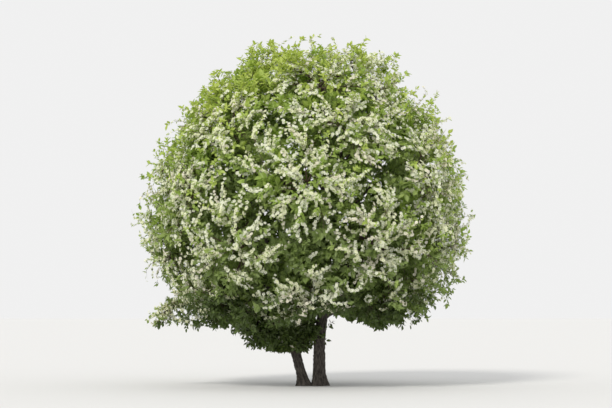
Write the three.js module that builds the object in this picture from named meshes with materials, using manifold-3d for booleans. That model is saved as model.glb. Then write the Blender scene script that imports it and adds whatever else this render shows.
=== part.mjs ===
// A white-flowering cherry tree in fresh leaf. Two stems rise from one root and fork low into boughs, and
// each bough carries one mass of the round, dense crown of leaves and blossom. Millimetres, +Z up, front at -Y.
// The origin is in the flat cut at ground level, between the two stems.
import * as THREE from "three";
import { mergeVertices } from "three/addons/utils/BufferGeometryUtils.js";
import Module from "manifold-3d";

const wasm = await Module();
wasm.setup();

// Crown: its widest height, and how far its outline reaches from there
const crownMiddle = new THREE.Vector3(-90, 0, 3700);
const crownReach = { left: 3700, right: 3540, deep: 3560, up: 3790, down: 2750 };
const crownCurve = { up: 2, down: 2.8 }; // 2 is an ellipse, more is fuller at the corner
const skirtHeight = 1200; // the crown's lower edge
const skirtArch = { x: 420, rise: 560, wide: 1000, deep: 5000 }; // its underside is higher beside the stems

// Where the outline swells beyond the plain curve: the way there, the swell as a share, and its half angle
const swells = [
  { turn: -35, tilt: 62, share: 0.035, spread: 14 },
  { turn: 150, tilt: 38, share: 0.03, spread: 16 },
  { turn: -20, tilt: 42, share: 0.03, spread: 14 },
  { turn: 185, tilt: -22, share: 0.03, spread: 12 },
  { turn: 178, tilt: -1, share: 0.05, spread: 10 },
  { turn: -2, tilt: 3, share: 0.045, spread: 10 },
];

// Masses of foliage, in rings round the crown: tilt is degrees above its middle, turn degrees round from +X
const rings = [
  { name: "skirt", count: 6, tilt: -41, turn: 28 },
  { name: "low", count: 6, tilt: -16, turn: -2 },
  { name: "middle", count: 6, tilt: 9, turn: 28 },
  { name: "high", count: 5, tilt: 34, turn: 0 },
  { name: "top", count: 4, tilt: 62, turn: 10 },
];
const centreShare = 0.77; // of the way from the crown's middle to its outline
// Two small masses hang below the rings on boughs of their own. fork is the height where it leaves its
// stem, and arrive points from the mass's middle to where the bough comes in.
const hangers = [
  { name: "hanging", centre: [-1200, -400, 1360], reach: 660, fork: 700, arrive: [0.75, 0.25, -0.35] },
  { name: "spray", centre: [-3270, -250, 1340], reach: 430, fork: 1760, arrive: [0.7, -0.15, 0.85] },
];
const hangerWall = 0.42; // of the way from a hanging mass to another, where its room ends
// The room of a mass's twigs and the smaller one of its core: the gap between two masses, the shares of the
// crown's reach between which they lie, and how far they stay above its underside
const twigRoom = { gap: 12, outer: 1.012, inner: 0.56, lift: 0 };
const coreRoom = { gap: 30, outer: 0.86, inner: 0.64, lift: 180 };
const cornerPower = 6; // how squarely a core fills its room

// Stems and root flare
const stemCut = 400; // height where the stems leave the root flare
const rightStem = {
  name: "right_stem",
  route: [
    [150, 0, -80],
    [146, -8, 500],
    [158, -16, 1000],
    [225, -35, 1600],
    [300, -60, 2400],
    [330, -60, 3300],
    [345, -40, 4200],
    [420, -60, 5000],
  ],
  footRadius: 140,
  tipRadius: 42,
  flare: 62,
  tipMass: "top_4",
};
const leftStem = {
  name: "left_stem",
  route: [
    [-152, 0, -80],
    [-285, 14, 450],
    [-420, 40, 950],
    [-600, 90, 1600],
    [-800, 140, 2300],
    [-990, 160, 3100],
    [-1120, 120, 3800],
  ],
  footRadius: 108,
  tipRadius: 40,
  flare: 56,
  tipMass: "high_3",
};
const stemDivide = -420; // masses left of here grow from the left stem
const stemSides = 12;
const stemSteps = 11;
const flareFade = 2.4; // power by which the root flare dies away up to there
const flareSides = 15;
const flareSteps = 6;
const flareLobes = 5;
const flareLobeDepth = 0.3;

// Boughs: where they leave the stem, how they rise, and their girth
const forkShare = 0.6; // of the mass's height
const forkLift = 360;
const forkStagger = 110;
const boughFoot = 0.55; // of the stem's radius there
const boughFootMost = 72;
const boughTip = 27;
const boughSides = 6;
const boughSteps = 5;
const boughFootRise = 0.62; // upward part of a bough's first direction
const boughFlatRise = 0.28; // the same, of a bough that leads to a mass no higher than its fork
const boughBend = { foot: 0.36, tip: 0.3 }; // lengths of its ends' tangents, as shares of its length
const highestFork = 0.86; // of the stem's length
const entryStep = 70; // from a mass's core, where its bough ends and its own stem begins
const jointGap = 0.35; // between faces that meet
const limbClearance = 14; // kept free round a limb by cores, twigs and leaves of masses that it passes

// Inside a mass: core, twigs, leaves and blossom, larger than life, each leaf standing for a spray
const coreLumps = 0.16; // depth of the hollows in a core, as a share of its reach
const twigCount = 256; // over the whole crown
const tipShare = 0.985; // of the outline's reach, where twigs end
const hangerTwigs = 12;
const hangerSize = 0.6; // of its leaves, against the crown's
const twigFootRadius = 20;
const twigTipRadius = 9;
const twigStart = 0.6; // of the way along the mass's stem, where its first twig leaves
const leafLength = 550;
const leafWidth = 320;
const leafThickness = 38; // at its ridge
const leafWidest = 0.4; // of its length from the root
const leafDroop = 0.5; // of its length, how far its tip hangs off the line of its twig
const bloomRadius = 180;
const bloomHeight = 80;
const bloomNotch = 0.5; // radius between two petals, as a share of a petal's
const bloomSunk = 22; // of its twig, into it
const petals = 5;
const sideEvery = 4; // one twig in four forks
const sideFork = 0.5; // of the way along it
const sideLean = 0.8;
const sideSize = 0.85; // of the fork's leaf, against the twig's own
const bloomRule = { every: 5, blooms: 2 }; // two twigs in five flower
const bloomTopTilt = 66; // degrees above the middle past which the crown stays green

const bark = new THREE.MeshStandardMaterial({ color: 0x3a302a, roughness: 0.92, metalness: 0 });
const youngBark = new THREE.MeshStandardMaterial({ color: 0x46382f, roughness: 0.88, metalness: 0 });
const foliage = new THREE.MeshStandardMaterial({ color: 0x86a05a, roughness: 0.6, metalness: 0 });

const goldenAngle = Math.PI * (3 - Math.sqrt(5));
const radians = THREE.MathUtils.degToRad;

// A repeatable number from 0 to 1 for the nth thing of a kind
function share(n, kind) {
  const wave = Math.sin(n * 12.9898 + kind * 78.233) * 43758.5453;
  return wave - Math.floor(wave);
}

// Unit vector at turn degrees round from +X and tilt degrees above level
function heading(turn, tilt) {
  const level = Math.cos(radians(tilt));
  return new THREE.Vector3(
    level * Math.cos(radians(turn)),
    level * Math.sin(radians(turn)),
    Math.sin(radians(tilt)),
  );
}

// How far the crown's outline is from its middle along a unit vector
function outlineReach(way) {
  const side = way.x < 0 ? crownReach.left : crownReach.right;
  const level = Math.hypot(way.x / side, way.y / crownReach.deep);
  const rise = way.z > 0 ? way.z / crownReach.up : -way.z / crownReach.down;
  const power = way.z > 0 ? crownCurve.up : crownCurve.down;
  let reach = (level ** power + rise ** power) ** (-1 / power);
  for (const swell of swells) {
    const apart = way.angleTo(heading(swell.turn, swell.tilt)) / radians(swell.spread);
    reach *= 1 + swell.share * Math.exp(-apart * apart);
  }
  return reach;
}

// Height of the crown's underside above a point of the ground
function undersideHeight(point) {
  const { x, rise, wide, deep } = skirtArch;
  return skirtHeight + rise * Math.max(0, 1 - Math.hypot((point.x - x) / wide, point.y / deep));
}

// The masses: name, middle, and what bounds each one
function makeMasses() {
  const masses = rings.flatMap((ring) =>
    Array.from({ length: ring.count }, (_, i) => {
      const way = heading(ring.turn + (360 * i) / ring.count, ring.tilt);
      const centre = way.clone().multiplyScalar(centreShare * outlineReach(way)).add(crownMiddle);
      return { name: `${ring.name}_${i + 1}`, centre };
    }),
  );
  for (const hanger of hangers) {
    const centre = new THREE.Vector3(...hanger.centre);
    masses.push({ ...hanger, centre });
  }
  for (const mass of masses) {
    mass.walls = masses.filter((other) => other !== mass).map((other) => wall(mass, other));
  }
  return masses;
}

// The wall between two masses: the way to it from the first one's middle and how far off it is
function wall(mass, other) {
  const way = other.centre.clone().sub(mass.centre);
  let place = 0.5;
  if (mass.reach && !other.reach) place = hangerWall;
  if (other.reach && !mass.reach) place = 1 - hangerWall;
  const away = way.length() * place;
  return { way: way.normalize(), away };
}

const masses = makeMasses();

// True where a point lies within the crown's shell of foliage, or within a hanging mass's ball
function inShell(mass, point, room) {
  if (mass.reach) return point.distanceTo(mass.centre) < mass.reach * room.outer ** 3;
  const way = point.clone().sub(crownMiddle);
  const outward = way.length() / outlineReach(way.normalize());
  return outward < room.outer && outward > room.inner && point.z > undersideHeight(point) + room.lift;
}

// True where a point lies in a mass's own room: on its side of every wall, and within the shell
function inRoom(mass, point, room) {
  const from = point.clone().sub(mass.centre);
  return mass.walls.every((w) => from.dot(w.way) < w.away - room.gap / 2) && inShell(mass, point, room);
}

// Distance from a mass's middle to the end of its room along a unit vector, its corners rounded off
function roomReach(mass, way, room) {
  let inside = 0;
  let outside = 2 * crownReach.up;
  for (let i = 0; i < 16; i++) {
    const half = (inside + outside) / 2;
    if (inShell(mass, mass.centre.clone().addScaledVector(way, half), room)) inside = half;
    else outside = half;
  }
  const nearness = mass.walls.map((w) => Math.max(way.dot(w.way), 0) / (w.away - room.gap / 2));
  const sum = [1 / inside, ...nearness].reduce((total, near) => total + near ** cornerPower, 0);
  return sum ** (-1 / cornerPower);
}

// A closed geometry as a solid, with its shared vertices merged
function solidOf(geometry) {
  const bare = geometry.clone();
  bare.deleteAttribute("normal");
  bare.deleteAttribute("uv");
  const merged = mergeVertices(bare, 1e-3);
  const corners = merged.index.array;
  const positions = merged.attributes.position.array;
  const kept = [];
  for (let i = 0; i < corners.length; i += 3) {
    const [a, b, c] = corners.slice(i, i + 3);
    if (a !== b && b !== c && c !== a) kept.push(a, b, c);
  }
  const mesh = new wasm.Mesh({
    numProp: 3,
    vertProperties: new Float32Array(positions),
    triVerts: new Uint32Array(kept),
  });
  return new wasm.Manifold(mesh);
}

// The largest body of a solid, so that loose scraps and sealed hollows are dropped
function mainBody(solid) {
  return solid.decompose().reduce((most, body) => (body.volume() > most.volume() ? body : most));
}

// A solid as a geometry
function geometryOf(solid) {
  const mesh = solid.getMesh();
  const geometry = new THREE.BufferGeometry();
  geometry.setAttribute("position", new THREE.BufferAttribute(new Float32Array(mesh.vertProperties), 3));
  geometry.setIndex(new THREE.BufferAttribute(new Uint32Array(mesh.triVerts), 1));
  geometry.computeVertexNormals();
  return geometry;
}

// A cylinder bent along a curve, its radius given at each share of the length and angle round it
function bentCylinder(curve, radiusAt, sides, steps) {
  const blank = new THREE.CylinderGeometry(1, 1, 1, sides, steps);
  const frames = curve.computeFrenetFrames(steps);
  const position = blank.attributes.position;
  const vertex = new THREE.Vector3();
  for (let i = 0; i < position.count; i++) {
    vertex.fromBufferAttribute(position, i);
    const along = THREE.MathUtils.clamp(vertex.y + 0.5, 0, 1);
    const ring = Math.round(along * steps);
    const radius = radiusAt(along, Math.atan2(vertex.z, vertex.x));
    const moved = curve
      .getPointAt(along)
      .addScaledVector(frames.normals[ring], vertex.x * radius)
      .addScaledVector(frames.binormals[ring], -vertex.z * radius);
    position.setXYZ(i, moved.x, moved.y, moved.z);
  }
  return solidOf(blank);
}

// Three-sided twig with its foot at the origin and its tip along +Y
function twigBlank(length) {
  const twig = new THREE.CylinderGeometry(twigTipRadius, twigFootRadius, length, 3, 1);
  twig.translate(0, length / 2, 0);
  return twig;
}

// The same twig ending in one drooping leaf, its ridge on the +Z side: three sides from foot to tip
function sprigBlank(length, size) {
  const long = leafLength * size;
  const wide = (leafWidth * size) / Math.sqrt(3);
  const thick = leafThickness / 1.5;
  const droop = long * leafDroop;
  const rings = [
    { y: length, wide: 0, thick: 0, droop },
    { y: length - long * (1 - leafWidest), wide, thick, droop: droop * leafWidest ** 2 },
    { y: length - long, wide: twigTipRadius, thick: twigTipRadius, droop: 0 },
    { y: 0, wide: twigFootRadius, thick: twigFootRadius, droop: 0 },
  ];
  const sprig = new THREE.CylinderGeometry(1, 1, 1, 3, rings.length - 1);
  const position = sprig.attributes.position;
  for (let i = 0; i < position.count; i++) {
    const ring = rings[Math.round((0.5 - position.getY(i)) * (rings.length - 1))];
    const height = position.getZ(i) * ring.thick - ring.droop;
    position.setXYZ(i, position.getX(i) * ring.wide, ring.y, height);
  }
  return sprig;
}

// One head of blossom: five petals round +Y, flat below, its middle raised
function bloomBlank(size) {
  const bloom = new THREE.ConeGeometry(1, bloomHeight, petals * 2, 1);
  const position = bloom.attributes.position;
  for (let i = 0; i < position.count; i++) {
    const turn = Math.atan2(position.getX(i), position.getZ(i));
    const petal = Math.round((turn / Math.PI) * petals) % 2 === 0;
    const radius = bloomRadius * size * (petal ? 1 : bloomNotch);
    position.setX(i, position.getX(i) * radius);
    position.setZ(i, position.getZ(i) * radius);
  }
  bloom.translate(0, bloomHeight / 2 - bloomSunk, 0);
  return bloom;
}

// Turns a blank that runs along +Y to a way, rolled about it, and sets it at a point
function placed(blank, way, roll, at) {
  const geometry = blank.clone();
  geometry.rotateY(roll);
  const up = new THREE.Vector3(0, 1, 0);
  geometry.applyQuaternion(new THREE.Quaternion().setFromUnitVectors(up, way.clone().normalize()));
  geometry.translate(at.x, at.y, at.z);
  return geometry;
}

// True where every corner of a geometry lies in a mass's room
function keepsToRoom(geometry, mass) {
  const position = geometry.attributes.position;
  const corner = new THREE.Vector3();
  for (let i = 0; i < position.count; i++) {
    corner.fromBufferAttribute(position, i);
    if (!inRoom(mass, corner, twigRoom)) return false;
  }
  return true;
}

// A mass's dense middle: a ball grown out to the ends of its room, with hollows
function coreSolid(mass, number) {
  const ball = new THREE.IcosahedronGeometry(1, 1);
  const position = ball.attributes.position;
  const way = new THREE.Vector3();
  for (let i = 0; i < position.count; i++) {
    way.fromBufferAttribute(position, i).normalize();
    const wave = Math.sin(way.x * 4 + number) + Math.sin(way.y * 4 + 2 * number) + Math.sin(way.z * 4);
    const reach = roomReach(mass, way, coreRoom) * (1 - coreLumps * (0.5 + wave / 6));
    const point = mass.centre.clone().addScaledVector(way, reach);
    position.setXYZ(i, point.x, point.y, point.z);
  }
  return solidOf(ball);
}

// Gives a stem its curve, from the ground to the mass at its tip, and the part of it above the flare
function routeStem(stem) {
  const mass = masses.find((m) => m.name === stem.tipMass);
  const points = stem.route.map((p) => new THREE.Vector3(...p));
  mass.entry = entryPoint(mass, points.at(-1));
  mass.entryRadius = stem.tipRadius;
  stem.curve = new THREE.CatmullRomCurve3([...points, mass.entry], false, "centripetal");
  stem.from = alongAtHeight(stem.curve, stemCut - stem.footRadius / 2);
  stem.above = partOf(stem.curve, stem.from, 1, stemSteps * 2);
  mass.entryWay = stem.above.getTangentAt(1);
}

// Where a limb that comes from a point enters a mass: a step short of its core
function entryPoint(mass, from) {
  const way = mass.arrive ? new THREE.Vector3(...mass.arrive) : from.clone().sub(mass.centre);
  way.normalize();
  return mass.centre.clone().addScaledVector(way, roomReach(mass, way, coreRoom) + entryStep);
}

function stemRadius(stem, along) {
  return stem.footRadius + (stem.tipRadius - stem.footRadius) * along ** 0.85;
}

// A curve's share of length at a height
function alongAtHeight(curve, height) {
  let low = 0;
  let high = 1;
  for (let i = 0; i < 24; i++) {
    const half = (low + high) / 2;
    if (curve.getPointAt(half).z < height) low = half;
    else high = half;
  }
  return (low + high) / 2;
}

// Part of a curve between two shares of its length, as a curve
function partOf(curve, from, to, steps) {
  const points = Array.from({ length: steps + 1 }, (_, i) =>
    curve.getPointAt(THREE.MathUtils.lerp(from, to, i / steps)),
  );
  return new THREE.CatmullRomCurve3(points, false, "centripetal");
}

// A wide box between two heights, to cut the stems with
function slab(low, high) {
  const box = new THREE.BoxGeometry(2000, 2000, high - low);
  box.translate(0, 0, (low + high) / 2);
  return solidOf(box);
}

// The root flare: both stems' feet, spread in lobes at the ground and joined, cut flat above and below
function rootFlare(stems) {
  const feet = stems.map((stem) => {
    const high = alongAtHeight(stem.curve, stemCut + 60);
    const foot = partOf(stem.curve, 0, high, flareSteps * 2);
    const radiusAt = (along, turn) => {
      const height = THREE.MathUtils.clamp(foot.getPointAt(along).z / stemCut, 0, 1);
      const lobe = 1 + flareLobeDepth * Math.cos(flareLobes * turn + stem.footRadius);
      return stemRadius(stem, along * high) + stem.flare * (1 - height) ** flareFade * lobe;
    };
    return bentCylinder(foot, radiusAt, flareSides, flareSteps);
  });
  return mainBody(wasm.Manifold.union(feet).intersect(slab(0, stemCut)));
}

function stemSolid(stem, grow) {
  const radiusAt = (along) => stemRadius(stem, THREE.MathUtils.lerp(stem.from, 1, along)) + grow;
  return bentCylinder(stem.above, radiusAt, stemSides, stemSteps);
}

// A bough from its stem to the edge of its mass, in one long bend
function boughCurve(mass, stem, number) {
  const highest = stem.curve.getPointAt(highestFork).z;
  const fork = Math.min(forkShare * mass.centre.z + forkLift, highest);
  const height = mass.fork ?? fork + forkStagger * ((number % 3) - 1);
  const along = alongAtHeight(stem.curve, height);
  const start = stem.curve.getPointAt(along);
  const end = entryPoint(mass, start);
  const across = end.clone().sub(start).setZ(0).normalize();
  const rise = mass.centre.z > start.z + 300 ? boughFootRise : boughFlatRise;
  const leaving = across.setZ(rise).normalize();
  const arriving = mass.centre.clone().sub(end).normalize();
  const length = end.distanceTo(start);
  const radius = Math.min(stemRadius(stem, along) * boughFoot, boughFootMost);
  mass.entry = end;
  mass.entryRadius = mass.reach ? boughTip * 0.7 : boughTip;
  mass.entryWay = arriving;
  const curve = new THREE.CubicBezierCurve3(
    start,
    start.clone().addScaledVector(leaving, length * boughBend.foot),
    end.clone().addScaledVector(arriving, -length * boughBend.tip),
    end,
  );
  return { curve, radius };
}

function boughSolid(bough, mass, grow) {
  const radiusAt = (along) => bough.radius + (mass.entryRadius - bough.radius) * along ** 0.8 + grow;
  return bentCylinder(bough.curve, radiusAt, boughSides, boughSteps);
}

// The clear room round a limb's tip and past it, where only the stem of the mass that it carries comes in
function tipRoom(mass) {
  const start = mass.entry.clone().addScaledVector(mass.entryWay, -limbClearance);
  const end = mass.entry.clone().addScaledVector(mass.entryWay, limbClearance);
  const radiusAt = () => mass.entryRadius + limbClearance;
  return bentCylinder(new THREE.LineCurve3(start, end), radiusAt, boughSides, 1);
}

// The twigs of a mass: its share of tips spread evenly over the crown, or over a hanging mass's own ball
function twigTips(mass, number) {
  const count = mass.reach ? hangerTwigs : twigCount;
  const tips = [];
  for (let k = 0; k < count; k++) {
    const level = 1 - (2 * k + 1) / count;
    const turn = k * goldenAngle + number * (mass.reach ? 1 : 0);
    const flat = Math.sqrt(1 - level * level);
    const way = new THREE.Vector3(flat * Math.cos(turn), flat * Math.sin(turn), level);
    const middle = mass.reach ? mass.centre : crownMiddle;
    const reach = mass.reach ? mass.reach : outlineReach(way);
    const tip = middle.clone().addScaledVector(way, reach * tipShare);
    if (inRoom(mass, tip, twigRoom)) tips.push({ tip, way, k });
  }
  return tips;
}

// One mass: its own stem, dense core, twigs, leaves and heads of blossom, all fused
function massSolid(mass, number, limbs) {
  const size = mass.reach ? hangerSize : 1;
  const bloom = bloomBlank(size);
  const start = mass.entry.clone().addScaledVector(mass.entryWay, jointGap);
  const bend = start.clone().addScaledVector(mass.entryWay, start.distanceTo(mass.centre) / 2);
  const stemLine = new THREE.QuadraticBezierCurve3(start, bend, mass.centre);
  const stemTaper = (along) => mass.entryRadius * (1 - 0.4 * along);
  const pieces = [
    bentCylinder(stemLine, stemTaper, boughSides, 2),
    mainBody(coreSolid(mass, number).subtract(limbs)),
  ];
  // Adds a blank where it keeps to the mass's room and off the limbs, in the first of three rolls that does
  const add = (blank, way, roll, at) => {
    for (let i = 0; i < 3; i++) {
      const geometry = placed(blank, way, roll + (i * Math.PI) / 3, at);
      if (!keepsToRoom(geometry, mass) || !solidOf(geometry).intersect(limbs).isEmpty()) continue;
      pieces.push(solidOf(geometry));
      return true;
    }
    return false;
  };
  for (const { tip, way, k } of twigTips(mass, number)) {
    const foot = stemLine.getPointAt(THREE.MathUtils.lerp(twigStart, 1, share(k, 2)));
    const outward = tip.clone().sub(foot);
    const length = outward.length();
    outward.normalize();
    const roll = share(k, 1) * Math.PI * 2;
    const flowers = k % bloomRule.every < bloomRule.blooms && way.z < Math.sin(radians(bloomTopTilt));
    if (flowers) {
      const stalk = length - bloomHeight + bloomSunk;
      const head = foot.clone().addScaledVector(outward, stalk);
      if (add(bloom, outward.clone().add(way), roll, head)) add(twigBlank(stalk), outward, roll, foot);
    } else add(sprigBlank(length, size), outward, roll, foot);
    if (k % sideEvery === 0) {
      const lean = outward.clone().addScaledVector(sideWay(outward, roll), sideLean);
      const fork = foot.clone().addScaledVector(outward, length * sideFork);
      add(sprigBlank(length * (1 - sideFork), size * sideSize), lean, roll + 1, fork);
    }
  }
  return mainBody(wasm.Manifold.union(pieces)).simplify(0.2);
}

// A unit vector square to another, turned about it
function sideWay(way, turn) {
  const helper = Math.abs(way.z) > 0.9 ? new THREE.Vector3(1, 0, 0) : new THREE.Vector3(0, 0, 1);
  const side = helper.cross(way).normalize();
  return side.applyAxisAngle(way, turn);
}

// Puts the tree together
const tree = new THREE.Group();
tree.name = "cherry_tree";

function addNode(name, solid, material) {
  const mesh = new THREE.Mesh(geometryOf(solid), material);
  mesh.name = name;
  tree.add(mesh);
}

const stems = [rightStem, leftStem];
stems.forEach(routeStem);
addNode("root_flare", rootFlare(stems), bark);

const limbs = [];
for (const stem of stems) {
  const below = slab(0, stemCut + jointGap);
  addNode(stem.name, mainBody(stemSolid(stem, 0).subtract(below)), bark);
  stem.grown = stemSolid(stem, jointGap);
  limbs.push(stemSolid(stem, limbClearance));
}
masses.forEach((mass, i) => {
  if (stems.some((stem) => stem.tipMass === mass.name)) return;
  const stem = mass.centre.x < stemDivide ? leftStem : rightStem;
  mass.bough = boughCurve(mass, stem, i);
  const cut = boughSolid(mass.bough, mass, 0).subtract(stem.grown);
  addNode(`bough_${mass.name}`, mainBody(cut), youngBark);
  limbs.push(boughSolid(mass.bough, mass, limbClearance));
});
const grownLimbs = wasm.Manifold.union([...limbs, ...masses.map(tipRoom)]);
masses.forEach((mass, i) => addNode(`foliage_${mass.name}`, massSolid(mass, i, grownLimbs), foliage));

export default tree;
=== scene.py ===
import math

import bpy
import numpy as np
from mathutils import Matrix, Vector


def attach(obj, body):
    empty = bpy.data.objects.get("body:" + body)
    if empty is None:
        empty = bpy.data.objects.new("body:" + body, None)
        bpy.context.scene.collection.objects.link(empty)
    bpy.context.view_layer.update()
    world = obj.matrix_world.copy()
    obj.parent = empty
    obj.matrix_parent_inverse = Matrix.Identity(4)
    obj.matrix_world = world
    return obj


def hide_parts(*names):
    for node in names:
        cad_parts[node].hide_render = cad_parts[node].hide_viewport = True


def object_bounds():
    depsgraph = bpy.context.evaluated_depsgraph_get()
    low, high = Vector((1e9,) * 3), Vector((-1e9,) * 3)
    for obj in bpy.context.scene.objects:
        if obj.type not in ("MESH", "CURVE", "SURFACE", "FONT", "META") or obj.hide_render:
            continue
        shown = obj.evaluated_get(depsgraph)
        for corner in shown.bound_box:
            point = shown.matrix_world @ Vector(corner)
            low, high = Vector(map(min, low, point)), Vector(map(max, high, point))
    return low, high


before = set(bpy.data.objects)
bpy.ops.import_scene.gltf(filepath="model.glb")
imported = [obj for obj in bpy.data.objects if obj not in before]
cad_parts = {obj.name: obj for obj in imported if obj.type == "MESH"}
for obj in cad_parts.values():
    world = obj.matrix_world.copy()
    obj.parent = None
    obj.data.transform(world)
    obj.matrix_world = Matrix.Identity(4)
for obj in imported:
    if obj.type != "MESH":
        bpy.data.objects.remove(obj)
cadLow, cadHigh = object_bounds()
print("frame loaded,", len(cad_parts), "nodes")

# A white-flowering cherry in fresh leaf: two stems from one root, boughs, and a round crown whose masses
# are grown here down to their single leaves and flowers. Metres, +Z up, front at -Y, ground at z = 0.

goldenAngle = math.pi * (3 - math.sqrt(5))
upward = np.array((0.0, 0.0, 1.0))
level = (1, 1, 0)  # leaves out the height

# The crown's outline, as the part has it
crown = {
    "middle": np.array((-0.090, 0.0, 3.700)),
    "left": 3.700, "right": 3.540, "deep": 3.560, "up": 3.790, "down": 2.750,
    "curveUp": 2.0, "curveDown": 2.8,  # 2 is an ellipse, more is fuller at the corner
    "skirtHeight": 1.200,
    "archX": 0.420, "archRise": 0.560, "archWide": 1.000, "archDeep": 5.000,
    "centreShare": 0.77,  # where a mass has its middle, of the way out
}
swells = [  # turn and tilt in degrees, share, half angle
    (-35, 62, 0.035, 14), (150, 38, 0.030, 16), (-20, 42, 0.030, 14),
    (185, -22, 0.030, 12), (178, -1, 0.050, 10), (-2, 3, 0.045, 10),
]
rings = [  # name, masses, tilt and turn in degrees
    ("skirt", 6, -41, 28), ("low", 6, -16, -2), ("middle", 6, 9, 28),
    ("high", 5, 34, 0), ("top", 4, 62, 10),
]
hangers = [  # leafyFrom: where its bough begins to bear leaf; least: its lowest leaf; tuft: more twigs, where
    {"name": "hanging", "centre": (-1.200, -0.400, 1.360), "reach": 0.660, "fork": 0.700,
     "arrive": (0.75, 0.25, -0.35), "leafyFrom": 0.02, "slim": 0.66, "least": 0.760, "flat": 0.9,
     "twigs": 300, "tuft": (-0.07, -0.14, 1.24), "tuftSpread": (0.14, 0.12, 0.13), "tuftTwigs": 60},
    {"name": "spray", "centre": (-3.270, -0.250, 1.340), "reach": 0.430, "fork": 1.760,
     "arrive": (0.70, -0.15, 0.85), "leafyFrom": 0.45, "slim": 0.60, "least": 1.050, "flat": 0.5,
     "twigs": 90, "tuft": (-2.60, -0.30, 1.45), "tuftSpread": (0.25, 0.20, 0.12), "tuftTwigs": 16},
]
hangerWall = 0.42  # of the way from a hanging mass to another, where its room ends
# Rooms: the gap between two masses, the shares of the crown's reach they lie between, and how far they stay
# above its underside
twigRoom = {"gap": 0.012, "outer": 1.012, "inner": 0.56, "lift": 0.0}
coreRoom = {"gap": 0.030, "outer": 0.86, "inner": 0.64, "lift": 0.180}
sprayRoom = {"gap": -0.140, "outer": 0.990, "inner": 0.46, "lift": -0.040}  # neighbouring sprays mingle
reachRoom = {"gap": -0.140, "outer": 1.018, "inner": 0.46, "lift": -0.040}  # for the longest of them
cornerPower = 6  # how squarely a core fills its room

# Limbs, as the part has them
stems = [
    {"name": "right_stem", "tipMass": "top_4", "footRadius": 0.140, "tipRadius": 0.042, "flare": 0.062,
     "route": [(0.150, 0, -0.080), (0.146, -0.008, 0.500), (0.158, -0.016, 1.000),
               (0.225, -0.035, 1.600), (0.300, -0.060, 2.400), (0.330, -0.060, 3.300),
               (0.345, -0.040, 4.200), (0.420, -0.060, 5.000)]},
    {"name": "left_stem", "tipMass": "high_3", "footRadius": 0.108, "tipRadius": 0.040, "flare": 0.056,
     "route": [(-0.152, 0, -0.080), (-0.285, 0.014, 0.450), (-0.420, 0.040, 0.950),
               (-0.600, 0.090, 1.600), (-0.800, 0.140, 2.300), (-0.990, 0.160, 3.100),
               (-1.120, 0.120, 3.800)]},
]
stemRule = {"divide": -0.420, "cut": 0.400, "fade": 2.4, "lobes": 5, "taper": 0.85}
boughRule = {
    "share": 0.6, "lift": 0.360, "stagger": 0.110, "highest": 0.86, "foot": 0.55, "footMost": 0.072,
    "tip": 0.027, "thin": 0.7,  # thin: how much of that a hanging mass's bough has
    "rise": 0.62, "flatRise": 0.28, "flatWithin": 0.3, "bendFoot": 0.36, "bendTip": 0.30, "entryStep": 0.070,
}


def unit(vectors):
    # each vector over its own length
    return vectors / np.maximum(np.linalg.norm(vectors, axis=-1, keepdims=True), 1e-9)


def lerp(low, high, part):
    # from low at 0 to high at 1
    return low + (high - low) * part


def share(n, kind):
    # a repeatable number from 0 to 1: the fraction of a large sine
    wave = np.sin(n * 12.9898 + kind * 78.233) * 43758.5453
    return wave - np.floor(wave)


def valueNoise(points, kind):
    # smooth noise from -1 to 1: a value at each corner of a unit grid, joined by 3t^2 - 2t^3
    cell = np.floor(points)
    part = points - cell
    part = part * part * (3 - 2 * part)
    total = np.zeros(points.shape[:-1])
    for corner in np.ndindex(2, 2, 2):
        place = cell + corner
        value = share(place[..., 0] + place[..., 1] * 57 + place[..., 2] * 113, kind) * 2 - 1
        total += value * np.prod(np.where(corner, part, 1 - part), axis=-1)
    return total


def heading(turn, tilt):
    # unit vector: (cos tilt cos turn, cos tilt sin turn, sin tilt)
    turn, tilt = math.radians(turn), math.radians(tilt)
    return np.array((math.cos(tilt) * math.cos(turn), math.cos(tilt) * math.sin(turn), math.sin(tilt)))


def spiral(count, kind=0.0):
    # count ways spread evenly over a ball: even steps in height, a golden angle apart in turn
    k = np.arange(count)
    height = 1 - (2 * k + 1) / count
    flat = np.sqrt(1 - height * height)
    turn = k * goldenAngle + kind
    return np.stack([flat * np.cos(turn), flat * np.sin(turn), height], axis=1)


def nearTo(ways, turn, tilt, spread):
    # exp(-(angle / spread)^2), of each way's angle in degrees from the one with this turn and tilt
    angle = np.degrees(np.arccos(np.clip(ways @ heading(turn, tilt), -1, 1)))
    return np.exp(-((angle / spread) ** 2))


def outlineReach(ways):
    # the superellipse (across^p + rise^p)^(-1/p), times 1 + its share * how near it is at each swell
    side = np.where(ways[..., 0] < 0, crown["left"], crown["right"])
    across = np.hypot(ways[..., 0] / side, ways[..., 1] / crown["deep"])
    above = ways[..., 2] > 0
    rise = np.abs(ways[..., 2]) / np.where(above, crown["up"], crown["down"])
    power = np.where(above, crown["curveUp"], crown["curveDown"])
    reach = (across**power + rise**power) ** (-1 / power)
    for turn, tilt, part, spread in swells:
        reach = reach * (1 + part * nearTo(ways, turn, tilt, spread))
    return reach


def outwardShare(points):
    # how far out a point is, 1 being on the crown's outline
    way = points - crown["middle"]
    return np.linalg.norm(way, axis=-1) / outlineReach(unit(way))


def undersideHeight(points):
    # level, with an arch beside the stems: rise * (1 - distance from the arch's middle), never below it
    aside = (points[..., 0] - crown["archX"]) / crown["archWide"]
    away = np.hypot(aside, points[..., 1] / crown["archDeep"])
    return crown["skirtHeight"] + crown["archRise"] * np.maximum(0, 1 - away)


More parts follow.
